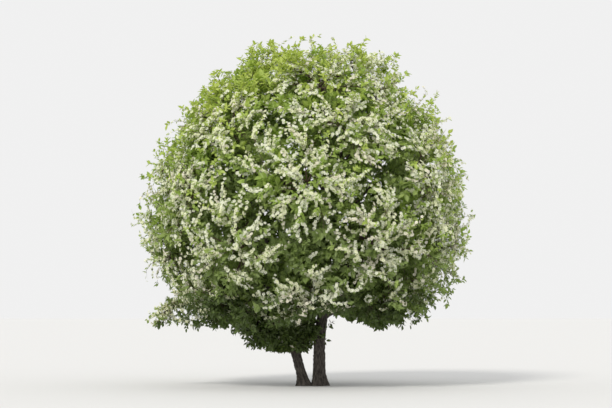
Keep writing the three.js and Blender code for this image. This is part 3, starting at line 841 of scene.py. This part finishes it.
def leaning(rule, **ways):
    # each way times its weight in the rule, summed, with a chance step of the rule's stray
    total = sum(way * rule[name] for name, way in ways.items())
    return total + jitter(len(total), rule["stray"])


def eachOf(carriers, count):
    # for so many things on each carrier: the carrier's number, and the thing's own from 0
    return np.repeat(np.arange(len(carriers)), count), np.tile(np.arange(count), len(carriers))


def goldenSides(ways, of, n, kind):
    # sides round each way, a golden angle apart on the same carrier
    return sideRound(ways, (n * goldenAngle + share(of, kind) * 2 * math.pi)[:, None])


def taper(steps, tip):
    # shares of the girth along a limb, from 1 at the foot to tip at its end
    return lerp(1, tip, np.linspace(0, 1, steps))


def massStem(mass):
    # a quadratic Bezier, written as a cubic, from the bough's tip to the mass's middle
    start, end = mass["entry"] - mass["entryWay"] * massStemRule["sunk"], mass["centre"]
    bend = start + mass["entryWay"] * np.linalg.norm(end - start) / 2
    controls = (start, lerp(start, bend, 2 / 3), lerp(end, bend, 2 / 3), end)
    return pathOf(bezier(*[p[None] for p in controls], 40)[0])


def limbsTo(tips, feet, along, ways):
    # a cubic from each foot to its tip, leaving near the way its carrier runs and turning outwards and up
    outward = unit(tips - feet)
    bend = np.linalg.norm(tips - feet, axis=1)[:, None] * limbRule["bend"]
    leaving = unit(leaning(limbRule["leaving"], along=along, outward=outward))
    arriving = unit(leaning(limbRule["arriving"], outward=outward, out=ways, up=upward))
    return bezier(feet, feet + leaving * bend, tips - arriving * bend, tips, limbRule["steps"])


def growLimbs(mass):
    # limbs to the tips that fall in the mass's room, each from the mass's stem, and every fourth forks
    rule = limbRule
    ways = spiral(rule["tips"])
    reach = outlineReach(ways)
    edge = crown["middle"] + ways * reach[:, None] * rule["within"]
    k = np.flatnonzero(inRoom(mass, edge, twigRoom))
    tips = crown["middle"] + ways[k] * reach[k, None] * rule["reach"]
    stemPath = massStem(mass)
    places = lerp(rule["from"], 1, share(k, 2))
    feet, along = pointAt(stemPath, places), tangentAt(stemPath, places)
    paths = limbsTo(tips, feet, along, ways[k])
    forked = k % rule["forkEvery"] == 0
    start = paths[forked, rule["steps"] // 2]
    outward = unit(tips - feet)[forked]
    lean = unit(outward + unit(np.cross(outward, jitter(len(start), 1.0))) * rule["forkLean"])
    half = np.linalg.norm(tips - feet, axis=1)[forked, None] * rule["forkAt"]
    forks = bezier(start, start + unit(outward + lean) * half * rule["forkBends"][0],
                   start + lean * half * rule["forkBends"][1],
                   start + lean * half + upward * half * rule["forkRise"], rule["steps"])
    sizes = np.repeat((1.0, rule["forkGirth"]), (len(k), len(start))) * rule["radius"]
    return stemPath, np.concatenate([paths, forks]), sizes


def hangerLine(mass):
    # along the low bough from where it bears leaf, and on to the mass's middle
    carrier = next(bough for bough in boughs if bough["name"] == f"bough_{mass['name']}")
    low = pointAt(carrier["path"], np.linspace(mass["leafyFrom"], 0.99, 24))
    return pathOf(np.concatenate([low, pointAt(massStem(mass), np.linspace(0.1, 1, 8))]))


def roundLine(mass, line, number, count, nearest):
    # points round a hanger's line, as far off as the mass's reach at its middle and less at the foot
    places = (np.arange(count) + 0.5) / count
    away = mass["reach"] * lerp(mass["slim"], hangerRule["slimTo"], places) * draws.uniform(nearest, 1, count)
    ways = spiral(count, number)[draws.permutation(count)]
    points = pointAt(line, places) + ways * away[:, None] * (1, 1, mass["flat"])
    least = mass["least"] + draws.uniform(0, hangerRule["leastVary"], count)
    points[:, 2] = np.maximum(points[:, 2], least)
    return points, places, ways


def growHangerLimbs(mass, number):
    # limbs from the hanger's line to points round it
    line = hangerLine(mass)
    tips, places, ways = roundLine(mass, line, number, hangerRule["limbs"], hangerRule["limbsFrom"])
    places = np.maximum(places - hangerRule["before"], 0)
    limbs = limbsTo(tips, pointAt(line, places), tangentAt(line, places), ways)
    return massStem(mass), limbs, np.full(len(tips), hangerRule["girth"] * limbRule["radius"])


def clumpOf(ways):
    # the limb tip that a way is nearest to, and how far off it is, 1 being halfway to the next
    near = ways @ spiral(limbRule["tips"]).T
    angle = np.arccos(np.clip(np.max(near, axis=1), -1, 1))
    return np.argmax(near, axis=1), angle / math.sqrt(math.pi / limbRule["tips"])


def dented(ways):
    # how much the crown draws in: each dent's share * how near it is, summed
    return sum(part * nearTo(ways, turn, tilt, spread) for turn, tilt, part, spread in dents)


def clumpedShare(ways):
    # how far out foliage lies: full over each limb's tip and each mass, hollow between them by the square of
    # the distance, more so low down, and uneven
    rule = branchletRule
    clump, off = clumpOf(ways)
    low = np.interp(ways[:, 2], *rule["hollowByTilt"])
    drop = rule["clumpHollow"] * low * np.clip(off, 0, rule["hollowMost"]) ** 2
    drop = drop + rule["unevenness"] * (share(clump, 4) + valueNoise(ways * rule["unevenScale"], 31))
    drop = drop + rule["billow"] * (rule["billowMiddle"] + valueNoise(ways * rule["billowScale"], 37))
    middles = unit(np.array([mass["centre"] for mass in masses if not mass["reach"]]) - crown["middle"])
    near = np.sort(ways @ middles.T, axis=1)
    between = np.clip(1 - rule["massEdge"] * (near[:, -1] - near[:, -2]), 0, 1)
    return rule["outerShare"] - (drop + rule["massHollow"] * between**2) - dented(ways)


def branchletTargets():
    # ends of the branchlets, evenly spread: an outer layer in clumps, an inner one in its shade, and long
    # ones that reach past the rest; kind is 0, 1 or 2
    rule = branchletRule
    outer, inner, reaching, spreads = (rule[name] for name in ("outer", "inner", "reaching", "spreads"))
    outerWays = unit(spiral(outer, 1.0) + jitter(outer, spreads[0]))
    off = clumpOf(outerWays)[1]
    gone = (off > rule["thinFrom"]) & (share(np.arange(len(off)), 13) < rule["thinning"])
    middles = unit(np.array([place for place, _ in openings]) - crown["middle"])
    for middle, (_, radius) in zip(middles, openings):
        gone |= np.arccos(np.clip(outerWays @ middle, -1, 1)) < radius / openingsAway
    outerWays = outerWays[~gone]
    behind = np.repeat(middles, rule["backing"], axis=0)
    innerWays = np.concatenate([
        unit(spiral(inner, 2.0) + jitter(inner, spreads[1])),
        unit(behind + jitter(len(behind), rule["backingSpread"]))])
    reachingWays = unit(spiral(reaching, 3.0) + jitter(reaching, spreads[2]))
    shares = np.concatenate([
        clumpedShare(outerWays) - draws.uniform(0, rule["ragged"], len(outerWays)),
        draws.uniform(*rule["innerShares"], len(innerWays)),
        draws.uniform(*rule["reachingShares"], len(reachingWays)) - dented(reachingWays)])
    ways = np.concatenate([outerWays, innerWays, reachingWays])
    kinds = np.repeat((0, 1, 2), (len(outerWays), len(innerWays), len(reachingWays)))
    points = crown["middle"] + ways * (outlineReach(ways) * shares)[:, None]
    low = undersideHeight(points)
    lift = low + draws.uniform(*rule["lift"], len(points)) - points[:, 2]
    points[:, 2] += np.where(points[:, 2] < low + rule["liftBelow"], lift, 0)
    return points, kinds


def growBranchlets(limbs, limbGirths, targets, kinds, wands):
    # each target is joined to the place on a limb where length * (1.5 - 0.9 * how straight on it lies) is
    # least; the outer half of one that flowers lies along the crown
    rule = branchletRule
    samples = rule["limbSteps"]
    starts = limbs[:, samples].reshape(-1, 3)
    tangents = unit(np.gradient(limbs, axis=1))[:, samples].reshape(-1, 3)
    girths = (limbGirths[:, None] * lerp(1.0, limbRule["taper"], samples / limbs.shape[1])).ravel()
    step = targets[:, None] - starts
    length = np.linalg.norm(step, axis=-1)
    lean = np.sum(step * tangents, axis=-1) / np.maximum(length, 1e-6)
    least = np.where(kinds == 2, rule["leastLong"][1], rule["leastLong"][0])[:, None]
    cost = length * (rule["straightCost"][0] - rule["straightCost"][1] * lean)
    best = np.argmin(cost + np.where(length < least, rule["tooShort"], 0), axis=1)
    start, along = starts[best], tangents[best]
    reach = np.linalg.norm(targets - start, axis=1)[:, None]
    outward = unit(targets - start)
    leaving = unit(leaning(rule["leaving"], along=along, outward=outward))
    rising = np.interp(targets[:, 2], *rule["rising"])[:, None]
    arriving = unit(leaning(rule["arriving"], outward=outward, up=upward * rising))
    out = unit(targets - crown["middle"])
    flat = straightened(outward, out)
    flat = flat + np.cross(out, flat) * draws.normal(0, rule["turn"], (len(targets), 1))
    lying = unit(flat + out * rule["lying"][0] + upward * rule["lying"][1])
    arriving = np.where(wands[:, None], lying, arriving)
    bend = np.where(wands, rule["bends"][1], rule["bends"][0])[:, None]
    paths = bezier(start, start + leaving * reach * rule["bendFoot"], targets - arriving * reach * bend,
                   targets, rule["steps"])
    return paths, np.minimum(girths[best] * rule["part"], rule["radius"])


def spurFeet(paths, number, low, high):
    # feet of so many spurs along each branchlet, the way it runs there, and a side round it
    of, n = eachOf(paths, number)
    place = lerp(low, high, (n + draws.uniform(*spurRule["placeVary"], len(n))) / number)
    grid = place * (paths.shape[1] - 1)
    cell = grid.astype(int)
    feet = lerp(paths[of, cell], paths[of, cell + 1], (grid - cell)[:, None])
    along = unit(paths[of, cell + 1] - paths[of, cell])
    return of, place, feet, along, goldenSides(along, of, n, 6)


def spurLines(feet, ways, length):
    # from each foot to its tip
    return np.stack([feet, feet + ways * length[:, None]], axis=1)


def growSpurs(paths, wands):
    # long leafy spurs on most branchlets and short flowering ones close along the rest, each shorter towards
    # the tip, and one that runs on from every end; with the branchlet each is on, and where it flowers
    lines, carriers, flowering = [], [], []
    for kind, chosen in enumerate((~wands, wands)):
        rule, mine = spurKinds[kind], np.flatnonzero(chosen)
        of, place, feet, along, side = spurFeet(paths[mine], rule["number"], rule["from"], spurRule["to"])
        outward = unit(feet - crown["middle"])
        ways = unit(leaning(rule, along=along, side=side, outward=outward, up=upward))
        length = lerp(rule["long"], rule["short"], place) * draws.uniform(*spurRule["vary"], len(of))
        lines.append(spurLines(feet, ways, length))
        carriers.append(mine[of])
        flowering.append(np.full(len(of), kind == 1))
    endWays = unit(leaning(spurRule["end"], along=unit(paths[:, -1] - paths[:, -2]), up=upward))
    tipped = wands & (share(np.arange(len(paths)), 17) > spurRule["shoots"])
    endLength = np.where(tipped, spurKinds[1]["long"], spurKinds[0]["short"])
    endLength = endLength * draws.uniform(*spurRule["vary"], len(paths))
    lines.append(spurLines(lerp(paths[:, -2], paths[:, -1], spurRule["to"]), endWays, endLength))
    carriers.append(np.arange(len(paths)))
    flowering.append(tipped)
    return np.concatenate(lines), np.concatenate(carriers), np.concatenate(flowering)


def patchwork(points, column):
    # what the patches add at each point: their amount * exp(-(distance / spread)^2), summed
    total = np.zeros(len(points))
    for place, spread, *amounts in patches:
        away = np.linalg.norm(points - np.array(place), axis=1)
        total += amounts[column] * np.exp(-((away / spread) ** 2))
    return total


def flowerChance(points, kinds):
    # most branchlets flower low and halfway up, fewer at the top, underneath and in the shade
    way = unit(points - crown["middle"])
    clump = clumpOf(way)[0]
    chance = np.interp(way[:, 2], *bloom["tilt"])
    chance = chance * np.interp(points[:, 2], *bloom["height"])
    drift = bloom["drift"] * valueNoise(points * bloom["driftScale"], 43)
    chance = chance * lerp(*bloom["clumps"], share(clump, 14)) + drift
    chance = (chance + patchwork(points, 0)) * np.choose(kinds, bloom["kinds"])
    return chance * np.interp(outwardShare(points), *bloom["outward"])


barkShares = np.linspace(0.08, 1, 60)
limbPoints = np.concatenate([pointAt(limb["path"], barkShares) for limb in [*stems, *boughs]])
limbGirths = np.concatenate([
    *[stemRadius(stem, barkShares) for stem in stems],
    *[lerp(bough["foot"], bough["tip"], barkShares) for bough in boughs]])


def clearOfLimbs(points, gap):
    # true where a point is further than gap from the bark of every stem and bough
    clear = np.ones(len(points), bool)
    for i in range(0, len(points), 4000):
        away = np.linalg.norm(points[i:i + 4000, None] - limbPoints, axis=-1) - limbGirths
        clear[i:i + 4000] = away.min(axis=1) > gap
    return clear


sectorNames = ["right", "backRight", "backLeft", "left", "frontLeft", "frontRight"]


def sectorOf(mass):
    # a sixth of the crown, by the turn of the mass's middle round its axis
    way = mass["centre"] - crown["middle"]
    turn = math.degrees(math.atan2(way[1], way[0])) + 30
    return sectorNames[int(turn % 360 // 60)]


targets, targetKinds = branchletTargets()
wood = {name: [] for name in sectorNames}
sprays = []


def growMass(mass, number):
    # the wood of one mass, and its spurs
    sector = sectorOf(mass)
    if mass["reach"]:
        stemPath, limbs, limbSizes = growHangerLimbs(mass, number)
        ends = roundLine(mass, hangerLine(mass), number + 0.5, mass["twigs"], hangerRule["twigsFrom"])[0]
        ends = np.concatenate([ends, mass["tuft"] + jitter(mass["tuftTwigs"], 1.0) * mass["tuftSpread"]])
        kinds = np.zeros(len(ends), int)
    else:
        stemPath, limbs, limbSizes = growLimbs(mass)
        mine = inRoom(mass, targets, {**reachRoom, "gap": 0.0})
        ends, kinds = targets[mine], targetKinds[mine]
    rule = massStemRule
    line = pointAt(stemPath, np.linspace(0, 1, rule["rings"]))[None]
    sizes = taper(rule["rings"], rule["taper"])[None] * mass["entryRadius"]
    wood[sector].append(tubes(line, sizes, rule["sides"]))
    sizes = limbSizes[:, None] * taper(limbs.shape[1], limbRule["taper"])
    wood[sector].append(tubes(limbs, sizes, limbRule["sides"]))
    wands = share(np.arange(len(ends)) + 1000 * number, 5) < flowerChance(ends, kinds)
    paths, girths = growBranchlets(limbs, limbSizes, ends, kinds, wands)
    sizes = girths[:, None] * taper(paths.shape[1], branchletRule["taper"])
    wood[sector].append(tubes(paths, sizes, branchletRule["sides"]))
    spurs, of, blooming = growSpurs(paths, wands)
    tips = spurs[:, -1]
    if mass["reach"]:
        kept = tips[:, 2] > mass["least"]
    else:
        kept = inRoom(mass, tips, sprayRoom) | ((kinds[of] == 2) & inRoom(mass, tips, reachRoom))
    kept &= clearOfLimbs(tips, spurRule["limbGap"])
    low, high = np.array(cadLow) - spurRule["beyond"], np.array(cadHigh) + spurRule["beyond"]
    kept &= np.all((tips > low) & (tips < high), axis=1)
    spurs, of, blooming = spurs[kept], of[kept], blooming[kept]
    leafy = spurs[~blooming]
    wood[sector].append(tubes(leafy, np.full(leafy.shape[:2], spurRule["radius"]), spurRule["sides"]))
    for kind, chosen in enumerate((~blooming, blooming)):
        mine = of[chosen]
        sprays.append({"sector": sector, "kind": kind, "spurs": spurs[chosen], "id": mine + 1000 * number,
                       "end": ends[mine], "inner": kinds[mine] == 1})


for number, mass in enumerate(masses):
    growMass(mass, number)
print("wood grown,", sum(len(s["spurs"]) for s in sprays), "spurs")


def foliagePiece(name, slot, parts, materials, *more):
    # a sixth of the crown's twigs, leaves or blossom, in place of its masses
    piece = meshPiece(name, *stacked(parts), materials, *more)
    sector = name.split("_")[1]
    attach(piece, "root")
    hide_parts(*[f"foliage_{mass['name']}" for mass in masses if sectorOf(mass) == sector])


for name in sectorNames:
    foliagePiece(f"twigs_{name}", "young_bark", wood[name], [twigBark])
print("twigs made")


# Leaves

leaf = {
    "length": 0.106, "least": 0.70, "most": 1.25,
    "inner": 1.55, "young": 0.80,  # times the length inside the crown, and by flowers
    # on leafy spurs, and by flowers: how many, on every which spur, and where along it
    "count": (5, 1), "every": (1, 2), "span": ((0.15, 1.0), (0.0, 0.0)),
    "placeVary": (-0.08, 0.08), "placeAt": 0.6,  # of its part of the spur
    "axis": {"along": 0.55, "side": 0.85, "out": 0.25, "up": -0.10, "stray": 0.22},
    "facing": {"out": 0.55, "up": 0.70, "stray": 0.38},
    "outline": np.array([(0, 0, 0), (-0.265, 0.30, 0.065), (-0.245, 0.62, 0.020), (0, 1.0, -0.13),
                         (0.245, 0.62, 0.020), (0.265, 0.30, 0.065)]),
}
# The tint paints light and shade into the leaves: under, low and darkestBelow darken them low down and
# underneath as painted shade, and byHeight and byOutward lighten them towards the top and the outer tips as
# painted sunlight
leafTint = {
    "from": 2.80, "byHeight": 1.75, "byOutward": 8, "outwardAt": 0.90, "byChance": 1.5,
    "under": -0.55, "underOutward": 0.88,  # below that height of the crown all count as this far out
    "low": ((1.2, 3.1), (2.1, 0.0)),  # what is taken off at these heights
    "drift": 0.9, "driftScale": 1.2, "darkestBelow": 1.9,
}


def leafSpots(spurs, ways, count, low, high):
    # count leaves along each spur, round it by the golden angle: their feet, axes and upper sides
    of, n = eachOf(spurs, count)
    place = lerp(low, high, (n + leaf["placeAt"]) / count) + draws.uniform(*leaf["placeVary"], len(n))
    feet = lerp(spurs[of, 0], spurs[of, -1], np.clip(place, 0, 1)[:, None])
    along = unit(spurs[of, -1] - spurs[of, 0])
    side = goldenSides(along, of, n, 8)
    axes = unit(leaning(leaf["axis"], along=along, side=side, out=ways[of], up=upward))
    facing = leaning(leaf["facing"], out=ways[of], up=upward)
    return feet, axes, straightened(facing, axes), of


def framed(blank, places, sides, axes, facing, sizes):
    # the blank's points x, y and z carried along each side, axis and facing, times the size, to each place
    frames = np.stack([sides, axes, facing], axis=1) * sizes[:, None, None]
    return (places[:, None] + np.einsum("pa,nab->npb", blank, frames)).reshape(-1, 3)


def copiesOf(faces, count, each):
    # the faces of one blank with so many points each, for every copy of it
    return ((np.arange(count) * each)[:, None, None] + faces).reshape(-1, faces.shape[1])


def leafMesh(feet, axes, facing, sizes):
    # a leaf at each foot; two halves meet in a fold along the midrib
    vertices = framed(leaf["outline"], feet, np.cross(axes, facing), axes, facing, sizes)
    halves = np.array([(0, 3, 2, 1), (0, 5, 4, 3)])
    return vertices, [copiesOf(halves, len(feet), len(leaf["outline"]))]


def leafTone(ends, chance):
    # from 0, dark green underneath, by 1, deep green inside, to 5, yellow green at the top and the outer
    # tips: painted shade underneath and inside, and painted sunlight at the top and the outer tips, where the
    # young leaves are also lighter
    tint = leafTint
    height = (ends[:, 2] - crown["middle"][2]) / crown["up"]
    outward = np.where(height < tint["under"], tint["underOutward"], np.minimum(outwardShare(ends), 1))
    score = tint["from"] + tint["byHeight"] * height + tint["byOutward"] * (outward - tint["outwardAt"])
    score = score + tint["byChance"] * (chance - 0.5)
    score -= np.interp(ends[:, 2], *tint["low"])
    score += tint["drift"] * valueNoise(ends * tint["driftScale"], 41) + patchwork(ends, 1)
    return np.clip(np.round(score), np.where(ends[:, 2] < tint["darkestBelow"], 0, 1), 5).astype(int)


# Blossom

blossom = {
    "radius": 0.034, "least": 0.85, "most": 1.15,
    "stalk": 0.016, "stalkVary": (0.7, 1.3), "stalkRadius": 0.0016,
    "petals": 5, "petalBase": 0.06, "petalWide": 0.86, "petalAngle": 31.5, "cup": 0.17, "tipRise": 0.10,
    "middle": 0.20, "middleLow": 0.03, "middleRise": 0.26,
    "tones": (0.44, 0.84),  # where cream and warm petals begin, of 1
    "turnVary": 0.3, "stalkWay": {"along": 0.40, "side": 0.85, "out": 0.45, "stray": 0.15},
    "facing": {"stalk": 1, "out": 0.7, "up": 0.15, "stray": 0.25},
}


def flowerBlank():
    # petals are kites: foot, two sides at an angle each way, and tip, turned fivefold; a low cone in the
    # middle. Their points, the petals' faces and the cone's
    turn = turnsOf(blossom["petals"])
    half = math.radians(blossom["petalAngle"])
    wide, cup = blossom["petalWide"], blossom["cup"]
    kite = [(blossom["petalBase"], 0, 0), (wide, half, cup), (1, 0, blossom["tipRise"]), (wide, -half, cup)]
    points = [np.stack([r * np.cos(turn + a), r * np.sin(turn + a), np.full(len(turn), z)], axis=1)
              for r, a, z in kite]
    petals = np.stack(points, axis=1).reshape(-1, 3)
    ring, radius = turnsOf(3), blossom["middle"]
    foot = np.full(3, blossom["middleLow"])
    cone = np.stack([radius * np.cos(ring), radius * np.sin(ring), foot], axis=1)
    vertices = np.concatenate([petals, cone, [(0, 0, blossom["middleRise"])]])
    corner = np.arange(blossom["petals"])[:, None] * 4
    kites = np.concatenate([corner + (0, 2, 1), corner + (0, 3, 2)])
    return vertices, kites, len(petals) + np.array([(0, 1, 3), (1, 2, 3), (2, 0, 3)])


def blossomSpots(spurs, ways):
    # a flower for each spur: its stalk leans from the spur's end, a chance turn round it and outwards, and
    # it faces much the same way
    along = unit(spurs[:, -1] - spurs[:, 0])
    turn = (share(np.arange(len(spurs)), 9) * 2 * math.pi)[:, None]
    side = sideRound(along, turn + draws.normal(0, blossom["turnVary"], turn.shape))
    stalks = unit(leaning(blossom["stalkWay"], along=along, side=side, out=ways))
    heads = spurs[:, -1] + stalks * blossom["stalk"] * draws.uniform(*blossom["stalkVary"], turn.shape)
    return heads, unit(leaning(blossom["facing"], stalk=stalks, out=ways, up=upward))


flowerPoints, flowerKites, flowerCone = flowerBlank()


def blossomMesh(feet, heads, facing, sizes, petalTone):
    # every flower's petals, middle and stalk, with a material number for each face
    side = sideRound(facing, draws.uniform(0, 2 * math.pi, (len(heads), 1)))
    vertices = framed(flowerPoints, heads, side, np.cross(facing, side), facing, sizes)
    flowers = [copiesOf(faces, len(heads), len(flowerPoints)) for faces in (flowerKites, flowerCone)]
    lines = np.stack([heads, feet], axis=1)
    stalkPoints, stalkSets = tubes(lines, np.full(lines.shape[:2], blossom["stalkRadius"]), 3)
    points, faceSets = stacked([(vertices, flowers), (stalkPoints, stalkSets[1:])])
    tones = [np.repeat(petalTone, len(flowerKites)), np.full(len(flowers[1]), 3)]
    tones += [np.full(len(faces), 4) for faces in stalkSets[1:]]
    return points, faceSets, np.concatenate(tones)


def dressSector(name):
    # the leaves and the blossom of a sixth of the crown, a piece each
    leaves, leafFaceTones, flowers, flowerFaceTones = [], [], [], []
    for spray in [s for s in sprays if s["sector"] == name]:
        spurs, kind = spray["spurs"], spray["kind"]
        ways = unit(spray["end"] - crown["middle"])
        tone = leafTone(spray["end"], share(spray["id"], 7))
        bearing = slice(None, None, leaf["every"][kind])
        feet, axes, facing, of = leafSpots(
            spurs[bearing], ways[bearing], leaf["count"][kind], *leaf["span"][kind])
        sizes = leaf["length"] * draws.uniform(leaf["least"], leaf["most"], len(feet))
        sizes *= np.where(spray["inner"][bearing][of], leaf["inner"], leaf["young"] if kind else 1.0)
        leaves.append(leafMesh(feet, axes, facing, sizes))
        leafFaceTones.append(np.repeat(tone[bearing][of], 2))
        if kind == 1:
            heads, facing = blossomSpots(spurs, ways)
            sizes = blossom["radius"] * draws.uniform(blossom["least"], blossom["most"], len(heads))
            petalTone = np.searchsorted(blossom["tones"], share(spray["id"], 12))
            points, faceSets, tones = blossomMesh(spurs[:, 0], heads, facing, sizes, petalTone)
            flowers.append((points, faceSets))
            flowerFaceTones.append(tones)
    foliagePiece(f"leaves_{name}", "foliage", leaves, leafMaterials, np.concatenate(leafFaceTones), False)
    foliagePiece(f"blossom_{name}", "foliage", flowers, [*petalMaterials, stamenMaterial, stalkMaterial],
                 np.concatenate(flowerFaceTones), False)


for name in sectorNames:
    dressSector(name)
print("leaves and blossom made")


# Floor, light and camera

stage = {
    "floorHalf": 400.0, "floorColour": (0.68, 0.68, 0.675), "floorRoughness": 0.9,
    "skyColour": (1.0, 1.0, 1.0), "skyStrength": 0.86, "gamma": 1.13,
}
key = {"way": (0.40, 0.78, -0.66), "strength": 2.1, "angle": 14, "colour": (1.0, 0.97, 0.90)}
view = {"place": (-1.0, -35.6, 1.55), "aim": (-0.13, 0.0, 3.86), "lens": 98.4, "sensor": 36.0}


def turnedTo(way):
    # the rotation that points a lamp or camera along a way
    return Vector(way).to_track_quat("-Z", "Y").to_euler()


half = stage["floorHalf"]
corners = np.array([(-half, -half, 0), (half, -half, 0), (half, half, 0), (-half, half, 0)], float)
floorMaterial = bpy.data.materials.new("paleFloor")
floorMaterial.use_nodes = True
surface = floorMaterial.node_tree.nodes["Principled BSDF"].inputs
surface["Base Color"].default_value = (*stage["floorColour"], 1)
surface["Roughness"].default_value = stage["floorRoughness"]
meshPiece("floor", corners, [np.array([(0, 1, 2, 3)])], [floorMaterial])

scene = bpy.context.scene
scene.world = bpy.data.worlds.new("softSky")
scene.world.use_nodes = True
sky = scene.world.node_tree.nodes["Background"].inputs
sky["Color"].default_value = (*stage["skyColour"], 1)
sky["Strength"].default_value = stage["skyStrength"]
scene.view_settings.view_transform = "Standard"
scene.view_settings.gamma = stage["gamma"]

keyData = bpy.data.lights.new("key", "SUN")
keyData.energy, keyData.angle, keyData.color = key["strength"], math.radians(key["angle"]), key["colour"]
placed("key", keyData).rotation_euler = turnedTo(key["way"])

cameraData = bpy.data.cameras.new("camera")
cameraData.lens, cameraData.sensor_width = view["lens"], view["sensor"]
scene.camera = placed("camera", cameraData)
scene.camera.location = view["place"]
scene.camera.rotation_euler = turnedTo(Vector(view["aim"]) - Vector(view["place"]))
print("stage set")
